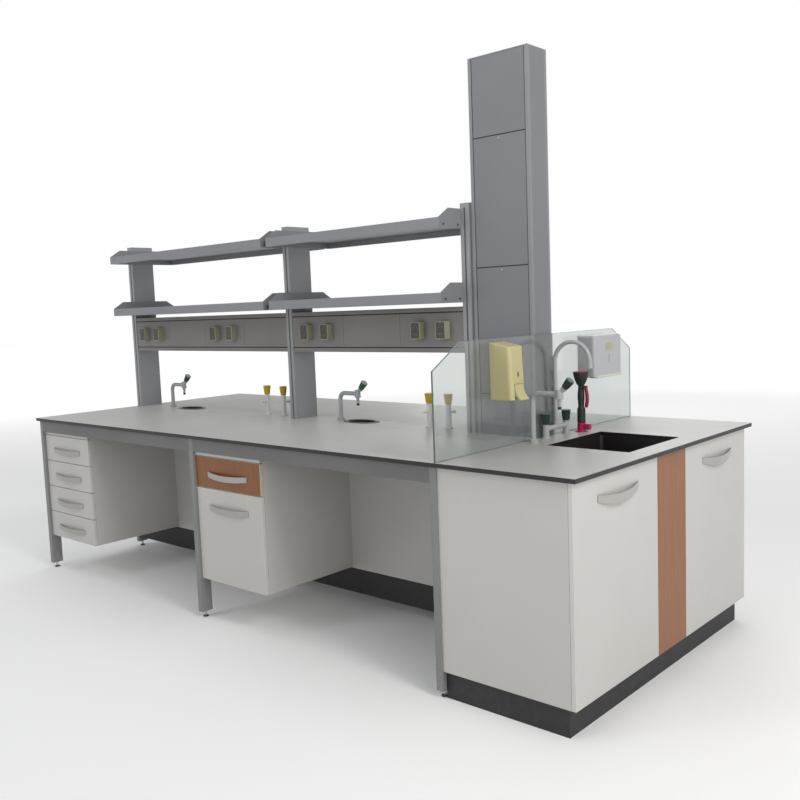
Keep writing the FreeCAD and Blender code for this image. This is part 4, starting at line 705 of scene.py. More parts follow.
def finish_piece(piece, body, node=None, angle=35):
    """Smooth shading that keeps large faces flat, and the piece's place in the assembly."""
    select_only(piece)
    bpy.ops.object.shade_smooth_by_angle(angle=math.radians(angle))
    weighing = piece.modifiers.new("weighted_normals", "WEIGHTED_NORMAL")
    weighing.keep_sharp = True
    bpy.ops.object.modifier_apply(modifier=weighing.name)
    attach(piece, body)
    if node is not None:
        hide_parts(node)


def fit(piece, material, body, node=None, spot=(0, 0, 0), turn=(0, 0, 0), angle=35):
    """A piece made at the origin given its finish, set at its spot and put in the assembly."""
    coat(piece, material)
    set_at(piece, spot, turn)
    finish_piece(piece, body, node, angle)


def discard(*pieces):
    """Patterns and cutters that have done their work are removed."""
    for piece in pieces:
        bpy.data.objects.remove(piece, do_unlink=True)


def copy_of(piece, name, shift=(0, 0, 0), about_turned=None):
    """A copy with its own mesh, moved, or turned by half about an upright axis."""
    twin = piece.copy()
    twin.data = piece.data.copy()
    twin.name = name
    twin.data.name = name
    bpy.context.scene.collection.objects.link(twin)
    if about_turned is not None:
        pivot = Matrix.Translation(about_turned)
        twin.data.transform(pivot @ Matrix.Rotation(math.pi, 4, "Z") @ pivot.inverted())
    twin.data.transform(Matrix.Translation(shift))
    return twin


# Bow handles

HANDLE_LENGTH = 0.288
HANDLE_HEIGHT = 0.026
HANDLE_BOW = 0.024
HANDLE_STRAP = 0.004
SLIM_DIP = 0.006
SLIM_BELLY = 0.008
SINK_DIP = 0.011
SINK_BELLY = 0.020
HANDLE_STEPS = 28


def bow_handle(name, dip, belly):
    """A strap handle that droops in its middle and stands out towards -Y, drawn along its bow."""
    half = HANDLE_LENGTH / 2
    upper = HANDLE_HEIGHT / 2
    pitch = HANDLE_LENGTH / HANDLE_STEPS

    def arch(x):
        return 1 - (x / half) ** 2

    def standing(x):
        return (HANDLE_BOW - HANDLE_STRAP) * arch(x)

    def top(x):
        return upper - dip * arch(x)

    def tall(x):
        return HANDLE_HEIGHT + (belly - dip) * arch(x)

    piece = start_block(name, (-half, -HANDLE_STRAP, -upper), (-half + pitch, 0, upper))
    with edit(piece):
        pick(piece, "FACE", lambda middle, normal: normal.x > 0.9)
        x = -half + pitch
        bpy.ops.transform.translate(value=(0, -standing(x), top(x) - upper))
        resize((1, 1, tall(x) / tall(-half)), (x, 0, top(x)))
        for _ in range(HANDLE_STEPS - 1):
            push((pitch, standing(x) - standing(x + pitch), top(x + pitch) - top(x)))
            grown = tall(x + pitch) / tall(x)
            x += pitch
            resize((1, 1, grown), (x, 0, top(x)))
        pick(piece, "EDGE", lambda middle, along: (
            abs(along.x) > 0.5 or abs(along.z) > 0.9 and abs(middle.x) > half - pitch / 2
        ))
        bevel(HANDLE_STRAP * 0.32, 3)
    coat(piece, handle_coat)
    return piece


# Fronts, trays and runners of the drawers; doors

FRONT_ARRIS = 0.0014
DRAWERS_PER_SIDE = 5
TRAY_BOARD = 0.012
TRAY_BOTTOM = 0.008
TRAY_HEIGHT = 0.110
TRAY_ARRIS = 0.001
RUNNER_THICK = 0.0063
RUNNER_HEIGHT = 0.035
RUNNER_GROOVE = 0.0045
FRONT_BOARD = 0.018
PEDESTAL_WIDTH = 0.480
RUNNER_CLEARANCE = 0.0004
HANDLE_BELOW_MIDDLE = 0.008
DOOR_HANDLE_DROP = 0.088
SINK_HANDLE_DROP = 0.080


def board(name, low, high, face, edge):
    """A front board with rounded arrises, its band of edging and its two faces finished apart."""
    piece = start_block(name, low, high)
    bevel_all(piece, FRONT_ARRIS, 3)
    wide = 0 if high[0] - low[0] < high[1] - low[1] else 1
    coat(piece, edge)
    coat(piece, face, lambda middle, normal: abs(normal[wide]) > 0.97)
    return piece


def tray(name, low, high):
    """A drawer box, hollowed from its upper face."""
    piece = start_block(name, low, high)
    with edit(piece):
        pick(piece, "FACE", lambda middle, normal: normal.z > 0.9)
        bpy.ops.mesh.inset(thickness=TRAY_BOARD)
        push((0, 0, TRAY_BOTTOM - (high[2] - low[2])))
    bevel_all(piece, TRAY_ARRIS, 2)
    outward(piece)
    coat(piece, white_board)
    return piece


def runner(name, low, high, outside):
    """A runner member with a long groove pressed into its outer side."""
    piece = start_block(name, low, high)
    with edit(piece):
        pick(piece, "FACE", lambda middle, normal: normal.x * outside > 0.9)
        bpy.ops.mesh.inset(thickness=RUNNER_HEIGHT * 0.24)
        push((-outside * RUNNER_GROOVE, 0, 0))
        resize((1, 1, 0.8), (Vector(low) + Vector(high)) / 2)
    bevel_all(piece, RUNNER_GROOVE * 0.2, 2)
    coat(piece, runner_zinc)
    return piece


def near_drawer(node, face, edge):
    """Front, handle, tray and two runner members of a near drawer, worked out from its CAD box."""
    low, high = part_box(node)
    front_y = low.y + HANDLE_BOW
    back_y = front_y + FRONT_BOARD
    middle = ((low.x + high.x) / 2, front_y, (low.z + high.z) / 2)
    floor = middle[2] - TRAY_HEIGHT / 2
    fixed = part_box("drawer_pedestals" if "left" in node else "cupboard_pedestals")
    gap = 2 * RUNNER_THICK + RUNNER_CLEARANCE
    x0 = fixed[0].x + FRONT_BOARD + gap
    x1 = fixed[0].x + PEDESTAL_WIDTH - FRONT_BOARD - gap
    front = board(node + "_board", (low.x, front_y, low.z), (high.x, back_y, high.z), face, edge)
    box = tray(node + "_tray", (x0, back_y, floor), (x1, high.y, floor + TRAY_HEIGHT))
    rail_low = middle[2] - RUNNER_HEIGHT / 2
    rail_high = middle[2] + RUNNER_HEIGHT / 2
    rails = [
        runner(node + "_runner_left", (x0 - RUNNER_THICK, back_y, rail_low), (x0, high.y, rail_high), -1),
        runner(node + "_runner_right", (x1, back_y, rail_low), (x1 + RUNNER_THICK, high.y, rail_high), 1),
    ]
    handle = copy_of(slim_handle, node + "_handle", (middle[0], front_y, middle[2] - HANDLE_BELOW_MIDDLE))
    return front, box, rails, handle


def far_name(name):
    """The name on the far side for a name on the near side."""
    return name.replace("near_", "far_", 1)


def place_pair(piece, near_node, main):
    """The near piece, and its twin turned to the far side, each riding on the body of its own side."""
    xs = [corner.co.x for corner in piece.data.vertices]
    pivot = ((min(xs) + max(xs)) / 2, 0, 0)
    twin = copy_of(piece, far_name(piece.name), about_turned=pivot)
    finish_piece(piece, near_node, near_node if main else None)
    finish_piece(twin, far_name(near_node), far_name(near_node) if main else None)


slim_handle = bow_handle("slim_handle", SLIM_DIP, SLIM_BELLY)
for index in range(DRAWERS_PER_SIDE):
    wooden = index == DRAWERS_PER_SIDE - 1
    drawer_node = "near_right_drawer" if wooden else f"near_left_drawer_{index + 1}"
    face = cherry_across if wooden else white_board
    edge = edge_band if wooden else white_edge
    front, box, rails, handle = near_drawer(drawer_node, face, edge)
    place_pair(front, drawer_node, True)
    place_pair(box, drawer_node, False)
    for rail in rails:
        place_pair(rail, drawer_node, False)
    place_pair(handle, drawer_node, False)


def cupboard_door():
    """The near cupboard door and its slim handle."""
    node = "near_cupboard_door"
    low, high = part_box(node)
    front_y = low.y + HANDLE_BOW
    door = board(node + "_board", (low.x, front_y, low.z), high, white_board, white_edge)
    spot = ((low.x + high.x) / 2, front_y, high.z - DOOR_HANDLE_DROP)
    handle = copy_of(slim_handle, node + "_handle", spot)
    place_pair(door, node, True)
    place_pair(handle, node, False)


def sink_doors():
    """The two sink doors with crescent handles, turned to face +X."""
    for node in ("near_sink_door", "far_sink_door"):
        low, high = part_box(node)
        front_x = high.x - HANDLE_BOW
        door = board(node + "_board", low, (front_x, high.y, high.z), white_board, white_edge)
        handle = copy_of(sink_handle, node + "_handle")
        set_at(handle, (front_x, (low.y + high.y) / 2, high.z - SINK_HANDLE_DROP), (0, 0, 90))
        finish_piece(door, node, node)
        finish_piece(handle, node)


sink_handle = bow_handle("sink_handle", SINK_DIP, SINK_BELLY)
cupboard_door()
sink_doors()
discard(slim_handle, sink_handle)


def parts_of(node):
    """The lowest and highest corner of each separate body in a CAD node, in order along X, then Y."""
    mesh = nodes[node].data
    owner = {}

    def root(key):
        while owner[key] != key:
            key = owner[key]
        return key

    keys = [tuple(round(axis, 6) for axis in corner.co) for corner in mesh.vertices]
    for key in keys:
        owner.setdefault(key, key)
    for face in mesh.polygons:
        first, *others = (root(keys[index]) for index in face.vertices)
        for other in others:
            owner[root(other)] = root(first)
    groups = {}
    for key in owner:
        groups.setdefault(root(key), []).append(key)
    boxes = [
        (Vector([min(axis) for axis in zip(*group)]), Vector([max(axis) for axis in zip(*group)]))
        for group in groups.values()
    ]
    return sorted(boxes, key=lambda box: (round(box[0].x, 3), round(box[0].y, 3), round(box[0].z, 3)))


# Knobs of the water and gas taps

KNOB_SIDES = 96
SPINDLE_RADIUS = 0.004
SPINDLE_LENGTH = 0.012
KNOB_GAP = 0.0004
TAP_TILT = 42
TAP_KNOB_SEAT = 0.036
TAP_KNOB_TOP = 0.0794
TAP_KNOB_RIM = 0.015
GAS_KNOB_SEAT = 0.112
MIXER_KNOB_SEAT = 0.056


def knob(name, seat, length, small, large, cap_height=0.0):
    """A tapered grip with upright grooves, its spindle below it and a cap or a dished end on top."""
    low = seat + KNOB_GAP
    high = low + length
    arris = length * 0.03

    def radius(height):
        return small + (large - small) * (height - low) / length

    first = low + length * 0.16
    last = high - length * 0.14
    rings = [
        (seat - SPINDLE_LENGTH, SPINDLE_RADIUS), (low, SPINDLE_RADIUS), (low, small - 2 * arris),
        (low + arris, small - arris / 2), (first - 2 * arris, radius(first)), (first, radius(first)),
        (last, radius(last)), (last + 2 * arris, radius(last)), (high - arris, large),
        (high - arris / 3, large - arris / 3), (high, large - arris),
    ]
    if cap_height:
        cap = large * 0.84
        rings += [
            (high, cap), (high + cap_height * 0.6, cap), (high + cap_height, cap - cap_height * 0.5),
        ]
    else:
        rings += [(high, large * 0.8), (high - arris, large * 0.76)]
    piece = turned(name, rings, KNOB_SIDES)
    groove(piece, first, last, KNOB_SIDES, 0.075)
    return piece, high


def tap_knobs():
    """The leaning knobs of the three goose-head taps."""
    for node, material, slot in (
        ("left_cup_tap_knob", green_plastic, "knob_green"),
        ("right_cup_tap_knob", green_plastic, "knob_green"),
        ("sink_tap_knob", dark_plastic, "knob_dark"),
    ):
        piece, cap_low = knob(node + "_grip", TAP_KNOB_SEAT, 0.040, 0.014, 0.018, 0.003)
        coat(piece, material)
        cap = cap_dark if slot == "knob_dark" else cap_grey
        coat(piece, cap, lambda middle, normal: middle.z > cap_low + KNOB_GAP)
        coat(piece, runner_zinc, lambda middle, normal: middle.z < TAP_KNOB_SEAT)
        set_at(piece, knob_seat(node), (0, TAP_TILT, 0))
        finish_piece(piece, node, node)


def knob_seat(node):
    """The point that a leaning knob is built from, found back along its lean from its CAD box."""
    low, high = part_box(node)
    lean = math.radians(TAP_TILT)
    # The box of the leaning knob reaches from the foot of its spindle to the rim of its cap.
    foot = TAP_KNOB_SEAT - SPINDLE_LENGTH
    x = low.x - foot * math.sin(lean) + SPINDLE_RADIUS * math.cos(lean)
    z = high.z - TAP_KNOB_TOP * math.cos(lean) - TAP_KNOB_RIM * math.sin(lean)
    return (x, (low.y + high.y) / 2, z)


def upright_knobs():
    """The gas tap knobs and the two mixer knobs."""
    for index in range(4):
        node = f"gas_tap_{index + 1}_knob"
        low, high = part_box(node)
        piece, top = knob(node + "_grip", GAS_KNOB_SEAT, 0.048, 0.015, 0.021)
        coat(piece, yellow_plastic)
        coat(piece, runner_zinc, lambda middle, normal: middle.z < GAS_KNOB_SEAT)
        set_at(piece, ((low.x + high.x) / 2, (low.y + high.y) / 2, high.z - top))
        finish_piece(piece, node, node)
    for node in ("near_mixer_knob", "far_mixer_knob"):
        low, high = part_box(node)
        piece, top = knob(node + "_grip", MIXER_KNOB_SEAT, 0.046, 0.0155, 0.020)
        coat(piece, dark_plastic)
        coat(piece, cap_dark, lambda middle, normal: normal.z > 0.2 and middle.z > 0.1)
        coat(piece, runner_zinc, lambda middle, normal: middle.z < MIXER_KNOB_SEAT)
        set_at(piece, ((low.x + high.x) / 2, (low.y + high.y) / 2, high.z - top))
        finish_piece(piece, node, node)


tap_knobs()
upright_knobs()


# Fittings of the taps

NECK_BORE = 0.0044
TAP_REACH = 0.126


def tap_details():
    """Black aerators, the collars under the heads and the nuts over the flanges of the goose-head taps."""
    for node in ("left_cup_tap_knob", "right_cup_tap_knob", "sink_tap_knob"):
        seat = Vector(knob_seat(node))
        label = node.replace("_knob", "")
        tip = turned(label + "_aerator", [
            (-0.0606, 0.0052), (-0.0600, 0.0070), (-0.0592, 0.0076), (-0.0500, 0.0076), (-0.0488, 0.0070),
        ], 32)
        groove(tip, -0.0595, -0.0495, 32, 0.06)
        collar = turned(label + "_collar", [
            (-0.0200, 0.0120), (-0.0192, 0.0156), (-0.0176, 0.0162), (-0.0150, 0.0162), (-0.0142, 0.0156),
        ], 40)
        crown = turned(label + "_crown", [
            (0.0150, 0.0150), (0.0172, 0.0146), (0.0188, 0.0130), (0.0196, 0.0100),
        ], 40)
        nut = turned(label + "_nut", [
            (0.0056, 0.0170), (0.0064, 0.0178), (0.0150, 0.0178), (0.0160, 0.0165), (0.0168, 0.0130),
        ], 6)
        nut_spot = (seat.x - TAP_REACH, seat.y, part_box("spine_top")[1].z)
        neck = turned(label + "_neck", [
            (0.0230, 0.0082), (0.0234, 0.0112), (0.0244, 0.0120), (0.0330, 0.0120), (0.0340, 0.0112),
            (0.0344, 0.0082),
        ], 6)
        carve(neck, turned("spindle_bore", [(0.0200, NECK_BORE), (0.0360, NECK_BORE)], 32))
        for piece, material, spot, turn in (
            (tip, black_rubber, seat, 0), (collar, tap_coat, seat, 0), (crown, tap_coat, seat, 0),
            (nut, tap_coat, nut_spot, 0), (neck, tap_coat, seat, TAP_TILT),
        ):
            fit(piece, material, "bench", None, spot, (0, turn, 0), angle=30)


tap_details()


# Splash screen

CORNER_ACROSS = 0.170
CORNER_DOWN = 0.100


def splash_screen():
    """The glass pane with its upper corners cut off, clear faces and dark ground edges."""
    low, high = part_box("glass_screen")
    shoulder_y = high.y - CORNER_ACROSS
    pane = start_block("glass_pane", low, high)
    with edit(pane):
        for side in (-1, 1):
            cut_off((low.x, side * shoulder_y, high.z), (0, side * CORNER_DOWN, CORNER_ACROSS))
    bevel_all(pane, 0.0009, 1)
    coat(pane, cut_glass)
    coat(pane, clear_glass, lambda middle, normal: abs(normal.x) > 0.99)
    finish_piece(pane, "bench", "glass_screen", angle=20)


splash_screen()


# Eyewash handset and lever

GRIP_RIBS = 9
RIB_PITCH = 0.0062
ROUND_SIDES = 48
LEVER_HALF = 0.008
LEVER_FACE = 0.0292
LEVER_PIVOT = 0.1935
LEVER_HEAD = 0.006
LEVER_LENGTH = 0.088
LEVER_BOW = 0.0062
LEVER_STEPS = 12
EAR_GAP = 0.0003
EAR_THICK = 0.004


def eyewash():
    """The handset with ribbed grip, slim neck, flared head and rose, and its curved lever."""
    low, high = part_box("eyewash_handset")
    spot = ((low.x + high.x) / 2, (low.y + high.y) / 2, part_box("eyewash_base")[0].z)
    rings = [(0.0195, 0.0106), (0.0395, 0.0106), (0.0395, 0.0150), (0.0405, 0.0168)]
    for index in range(GRIP_RIBS):
        foot = 0.0415 + RIB_PITCH * index
        rings += [(foot, 0.0180), (foot + RIB_PITCH * 0.62, 0.0180)]
        rings += [(foot + RIB_PITCH * 0.74, 0.0168), (foot + RIB_PITCH * 0.88, 0.0168)]
    rings += [
        (0.0985, 0.0176), (0.1015, 0.0165), (0.1060, 0.0138), (0.1120, 0.0126), (0.1260, 0.0134),
        (0.1440, 0.0152), (0.1620, 0.0150), (0.1800, 0.0132), (0.1920, 0.0118), (0.1985, 0.0118),
        (0.2030, 0.0146), (0.2080, 0.0188), (0.2100, 0.0188), (0.2110, 0.0200), (0.2190, 0.0238),
        (0.2210, 0.0238), (0.2220, 0.0250), (0.2320, 0.0284), (0.2340, 0.0284), (0.2350, 0.0294),
        (0.2460, 0.0316), (0.2560, 0.0328), (0.2595, 0.0330), (0.2610, 0.0322), (0.2610, 0.0306),
        (0.2596, 0.0298), (0.2560, 0.0294),
    ]
    handset = turned("handset_shell", rings, ROUND_SIDES)
    rose = turned("handset_rose", [
        (0.2540, 0.0290), (0.2600, 0.0290), (0.2612, 0.0274), (0.2626, 0.0240), (0.2634, 0.0216),
        (0.2644, 0.0160), (0.2648, 0.0132), (0.2651, 0.0080), (0.2652, 0.0052),
    ], ROUND_SIDES)
    with edit(rose):
        pick(rose, "FACE", lambda middle, normal: normal.z > 0.5 and (
            0.0222 < middle.xy.length < 0.0234 or 0.0138 < middle.xy.length < 0.0152
        ) and column_of(middle, ROUND_SIDES) % 4 == 0)
        push((0, 0, -0.0014))
    ears = []
    for side in (-1, 1):
        inner = side * (LEVER_HALF + EAR_GAP)
        outer = side * (LEVER_HALF + EAR_GAP + EAR_THICK)
        ear = start_block("ear", (0.004, min(inner, outer), 0.1875), (0.027, max(inner, outer), 0.1995))
        bevel_all(ear, 0.0012, 2)
        ears.append(ear)
    ears = join("handset_ears", ears)
    corner = (0.0188, -LEVER_HALF, LEVER_PIVOT - LEVER_HEAD)
    lever = start_block("lever_blade", corner, (LEVER_FACE, LEVER_HALF, LEVER_PIVOT + 0.0035))
    with edit(lever):
        pick(lever, "FACE", lambda middle, normal: normal.z < -0.9)
        drop = (LEVER_LENGTH - LEVER_HEAD) / LEVER_STEPS
        reach = 0.0
        for index in range(LEVER_STEPS):
            bowed = LEVER_BOW * math.sin(math.pi * (index + 1) / LEVER_STEPS)
            push((bowed - reach, 0, -drop))
            reach = bowed
        resize((0.60, 0.88, 1), (LEVER_FACE, 0, LEVER_PIVOT - LEVER_LENGTH))
    bevel_all(lever, 0.0016, 3, 45)
    for piece, material, body, slot, node in (
        (handset, black_rubber, "eyewash_handset", "handset_black", "eyewash_handset"),
        (rose, red_plastic, "eyewash_handset", "safety_red", None),
        (ears, black_rubber, "eyewash_handset", "handset_black", None),
        (lever, lever_red, "eyewash_lever", "safety_red", "eyewash_lever"),
    ):
        fit(piece, material, body, node, spot)


eyewash()


# Soap dispenser

SHELL_WALL = 0.003
WINDOW_HALF = 0.029
WINDOW_LOW = 0.0035
WINDOW_HIGH = 0.062
BLADE_STEPS = 10
BLADE_LENGTH = 0.053
BLADE_FLARE = 0.0050
SIGHT_SQUASH = 0.48
SIGHT_SUNK = 0.0049
SIGHT_LEVEL = 0.097
SIGHT_LEAN = 87.2


def soap_dispenser():
    """The leaning soap cover with its window and sight glass, and the flared push lever in it."""
    low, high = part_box("soap_cover")
    middle_y = (low.y + high.y) / 2
    half = (high.y - low.y) / 2
    tall = high.z - low.z
    nose = high.x - low.x
    cover = start_block("soap_shell", (0.0003, -half, 0), (nose, half, tall))
    with edit(cover):
        round_off(cover, lambda middle, along: middle.x > nose / 2 and abs(along.z) > 0.9, 0.018, 7)
        pick(cover, "EDGE", lambda middle, along: middle.x > nose * 0.6 and middle.z > tall * 0.99)
        bpy.ops.transform.translate(value=(-0.010, 0, 0))
        cut_off((0, 0, tall), (0.016, 0, 0.088))
        pick(cover, "EDGE", lambda middle, along: (
            middle.z > tall * 0.9 and abs(along.z) < 0.6 and middle.x > 0.001
        ))
        bevel(0.006, 4)
        pick(cover, "FACE", lambda middle, normal: normal.x < -0.9)
        bpy.ops.mesh.delete(type="FACE")
        for side in (-1, 1):
            mark_across((0, side * WINDOW_HALF, 0), (0, 1, 0))
        for level in (WINDOW_LOW, WINDOW_HIGH):
            mark_across((0, 0, level), (0, 0, 1))
        pick(cover, "FACE", lambda middle, normal: (
            normal.x > 0.9 and abs(middle.y) < WINDOW_HALF and WINDOW_LOW < middle.z < WINDOW_HIGH
        ))
        bpy.ops.mesh.delete(type="FACE")
    outward(cover)
    give_wall(cover, SHELL_WALL)
    lever = start_block("soap_blade", (0.0835, -0.028, BLADE_LENGTH), (0.0992, 0.028, 0.0608))
    with edit(lever):
        pick(lever, "FACE", lambda middle, normal: normal.z < -0.9)
        for index in range(BLADE_STEPS):
            share = (index + 1) / BLADE_STEPS
            push((BLADE_FLARE * share, 0, -BLADE_LENGTH / BLADE_STEPS))
        resize((0.55, 0.96, 1), (0.122, 0, 0))
    bevel_all(lever, 0.0018, 3, 40)
    rim = turned("soap_sight_rim", [
        (-0.0010, 0.0138), (0.0008, 0.0138), (0.0016, 0.0130), (0.0016, 0.0118), (0.0006, 0.0110),
    ], 40)
    pane = turned("soap_sight_pane", [
        (0.0002, 0.0108), (0.0010, 0.0108), (0.0014, 0.0098), (0.0016, 0.0060),
    ], 40)
    spot = (low.x, middle_y, low.z)
    sight_spot = (low.x + nose - SIGHT_SUNK, middle_y, low.z + SIGHT_LEVEL)
    fit(cover, soap_plastic, "soap_cover", "soap_cover", spot)
    for piece, material in ((rim, soap_plastic), (pane, sight_dark)):
        with edit(piece):
            pick_all()
            resize((1, SIGHT_SQUASH, 1), (0, 0, 0))
        fit(piece, material, "soap_cover", None, sight_spot, (0, SIGHT_LEAN, 0))
    fit(lever, soap_plastic, "soap_lever", "soap_lever", spot)


soap_dispenser()


# Towel dispenser

LOCK_PROUD = 0.0015


def towel_dispenser():
    """The rounded towel cover, its slit, paper opening, lock plate and the chin below."""
    low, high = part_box("towel_cover")
    middle_y = (low.y + high.y) / 2
    half = (high.y - low.y) / 2
    tall = high.z - low.z
    front = high.x - low.x - LOCK_PROUD
    cover = start_block("towel_shell", (0, -half, 0), (front, half, tall))
    with edit(cover):
        round_off(cover, lambda middle, along: middle.x > front / 2 and abs(along.z) > 0.9, 0.020, 7)
        pick(cover, "EDGE", lambda middle, along: (
            middle.z > tall * 0.9 and abs(along.z) < 0.2 and middle.x > 0.001
        ))
        bevel(0.012, 5)
        round_off(cover, lambda middle, along: middle.z < 0.001 and middle.x > 0.001, 0.004, 3)
        pick(cover, "FACE", lambda middle, normal: normal.x < -0.9)
        bpy.ops.mesh.inset(thickness=SHELL_WALL)
        push((front - 2 * SHELL_WALL, 0, 0))
        resize((1, 0.86, 0.86), (front, 0, tall / 2))
    outward(cover)
    carve(cover, start_block("slit", (front - 0.010, -0.002, 0.057), (front + 0.002, 0.002, 0.099)))
    carve(cover, start_block("outlet", (0.030, -0.080, -0.002), (0.064, 0.080, 0.020)))
    bevel_all(cover, 0.0005, 1, 50)
    lock = start_block("towel_lock", (front - 0.0005, -0.031, 0.117), (front + LOCK_PROUD, 0.031, 0.149))
    with edit(lock):
        round_off(lock, lambda middle, along: abs(along.x) > 0.9, 0.0150, 8)
        round_off(lock, lambda middle, along: middle.x > front + 0.001, 0.0006, 2)
    carve(lock, start_block("key_slot", (front - 0.002, -0.0150, 0.1280), (front + 0.002, -0.0095, 0.1380)))
    backing = start_block(
        "towel_slit_backing", (front - 0.0056, -0.026, 0.050), (front - 0.0032, 0.026, 0.145)
    )
    bevel_all(backing, 0.0004)
    chin = start_block(
        "towel_chin", (front - 0.030, -half + 0.006, -0.0025), (front + 0.0055, half - 0.004, 0.0085)
    )
    with edit(chin):
        round_off(chin, lambda middle, along: abs(along.z) > 0.9 and middle.x > front, 0.026, 8)
        round_off(chin, lambda middle, along: middle.x > front - 0.029 and abs(along.z) < 0.1, 0.0034, 4)
    spot = (low.x, middle_y, low.z)
    for piece, material, node in (
        (cover, towel_plastic, "towel_cover"), (lock, lock_plate, None), (backing, socket_dark, None),
        (chin, chin_plastic, None),
    ):
        fit(piece, material, "towel_cover", node, spot)


towel_dispenser()


# Sockets of the raceways

FACE_RECESS = 0.0016
FACE_MARGIN = 0.0046


def sockets():
    """Every socket box, modelled once about its back and set at the place of its CAD box."""
    boxes = [box for box in parts_of("socket_outlets") if box[1].y - box[0].y > 0.02]
    low, high = boxes[0]
    size = high - low
    depth = size.y
    box = start_block("socket_box", (-size.x / 2, -depth, -size.z / 2), (size.x / 2, 0, size.z / 2))
    with edit(box):
        round_off(box, lambda middle, along: abs(along.y) > 0.9, 0.004, 4)
        round_off(box, lambda middle, along: middle.y < -depth + 0.001, 0.0022, 3)
        pick(box, "FACE", lambda middle, normal: normal.y < -0.99 and middle.y < -depth + 0.0005)
        bpy.ops.mesh.inset(thickness=FACE_RECESS)
        push((0, FACE_RECESS, 0))
    coat(box, socket_plastic)
    plate_x = size.x / 2 - FACE_MARGIN
    plate_z = size.z / 2 - FACE_MARGIN
    plate = start_block("socket_plate", (-plate_x, -0.0006, -plate_z), (plate_x, 0.0018, plate_z))
    bevel_all(plate, 0.0008, 2)
    outlets = []
    for x, z, wide, tall, turn in (
        (-0.0100, 0.0130, 0.0022, 0.0078, 30), (0.0100, 0.0130, 0.0022, 0.0078, -30),
        (0, 0.0260, 0.0078, 0.0022, 0), (-0.0064, -0.0170, 0.0026, 0.0082, 0),
        (0.0064, -0.0170, 0.0026, 0.0082, 0),
    ):
        cutter = start_block("pin_hole", (-wide / 2, -0.003, -tall / 2), (wide / 2, 0.0012, tall / 2))
        set_at(cutter, (x, 0, z), (0, turn, 0))
        outlets.append(cutter)
    carve(plate, join("pin_holes", outlets))
    coat(plate, socket_dark)
    set_at(plate, (0, FACE_RECESS - depth, 0))
    for number, (low, high) in enumerate(boxes, 1):
        near_side = low.y < 0
        spot = ((low.x + high.x) / 2, high.y if near_side else low.y, (low.z + high.z) / 2)
        turned_about = None if near_side else (0, 0, 0)
        for source, label in ((box, "socket_box"), (plate, "socket_face")):
            piece = copy_of(source, f"{label}_{number}", spot, turned_about)
            main = number == 1 and source is box
            finish_piece(piece, "bench", "socket_outlets" if main else None)
    discard(box, plate)


sockets()


# Dark strips of painted shadow in the joints, clips and screws of the column and rack

STRIP_WIDTH = 0.0040
STRIP_PROUD = 0.0004
STRIP_SUNK = 0.002
STRIP_LAP = 0.0004
HEAD_SUNK = 0.0006
RACEWAY_MIDDLE = 1.35
RACEWAY_FACE = 0.0660
GROOVE_HEIGHT = 0.005
GROOVE_DEPTH = 0.0016


def shadow_gap_strip(name, low, high):
    """A thin dark strip with rounded edges that fills a joint: painted shadow, standing in for the shade in
    its gap.
    """
    piece = start_block(name, low, high)
    bevel_all(piece, STRIP_PROUD / 2, 1)
    coat(piece, gap_shadow_dark)
    finish_piece(piece, "bench")


def column_trim():
    """Dark strips of painted shadow in the joints of the column panels, with a small clip under each seam, on
    both broad sides.
    """
    panels = [box for box in parts_of("column_panels") if box[1].x - box[0].x > 0.1]
    column_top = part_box("column_frame")[1].z
    depth = STRIP_SUNK + STRIP_PROUD
    for number, (low, high) in enumerate(panels, 1):
        near_side = low.y < 0
        face = low.y - STRIP_PROUD if near_side else high.y - STRIP_SUNK
        for start, label in ((low.x - STRIP_LAP, "left"), (high.x + STRIP_LAP - STRIP_WIDTH, "right")):
            shadow_gap_strip(
                f"column_strip_{label}_{number}",
                (start, face, low.z), (start + STRIP_WIDTH, face + depth, high.z),
            )
        if high.z < column_top - 0.05:
            seam = high.z
            shadow_gap_strip(
                f"column_seam_{number}", (low.x, face, seam - 0.0008), (high.x, face + depth, seam + 0.0040),
            )
            clip = turned(f"column_clip_{number}", [
                (0, 0.0040), (0.0008, 0.0040), (0.0014, 0.0034), (0.0017, 0.0024), (0.0012, 0.0012),
            ], 24)
            spot = ((low.x + high.x) / 2, low.y if near_side else high.y, seam - 0.012)
            fit(clip, cap_grey, "bench", None, spot, (90 if near_side else -90, 0, 0))


def plate_screw_heads():
    """A domed head with a cross recess over each plain screw of the shelf end plates."""
    head = turned("screw_head", [
        (0, 0.0050), (0.0006, 0.0052), (0.0014, 0.0048), (0.0022, 0.0036), (0.0026, 0.0020), (0.0027, 0.0008),
    ], 24)
    for turn in (0, 90):
        cutter = start_block("cross", (-0.0030, -0.0005, 0.0012), (0.0030, 0.0005, 0.0040))
        set_at(cutter, (0, 0, 0), (0, 0, turn))
        carve(head, cutter)
    coat(head, screw_dark)
    plates = [box for box in parts_of("shelf_end_plates") if box[1].y - box[0].y > 0.1]
    screws = [box for box in parts_of("shelf_end_plates") if box[1].y - box[0].y < 0.02]
    for number, (low, high) in enumerate(screws, 1):
        # The head of a screw points away from the plate that it holds.
        points_right = any(abs(plate[1].x - low.x) < 0.0005 for plate in plates)
        foot = high.x - HEAD_SUNK if points_right else low.x + HEAD_SUNK
        piece = copy_of(head, f"screw_head_{number}")
        set_at(piece, (foot, (low.y + high.y) / 2, (low.z + high.z) / 2), (0, 90 if points_right else -90, 0))
        finish_piece(piece, "bench")
    discard(head)


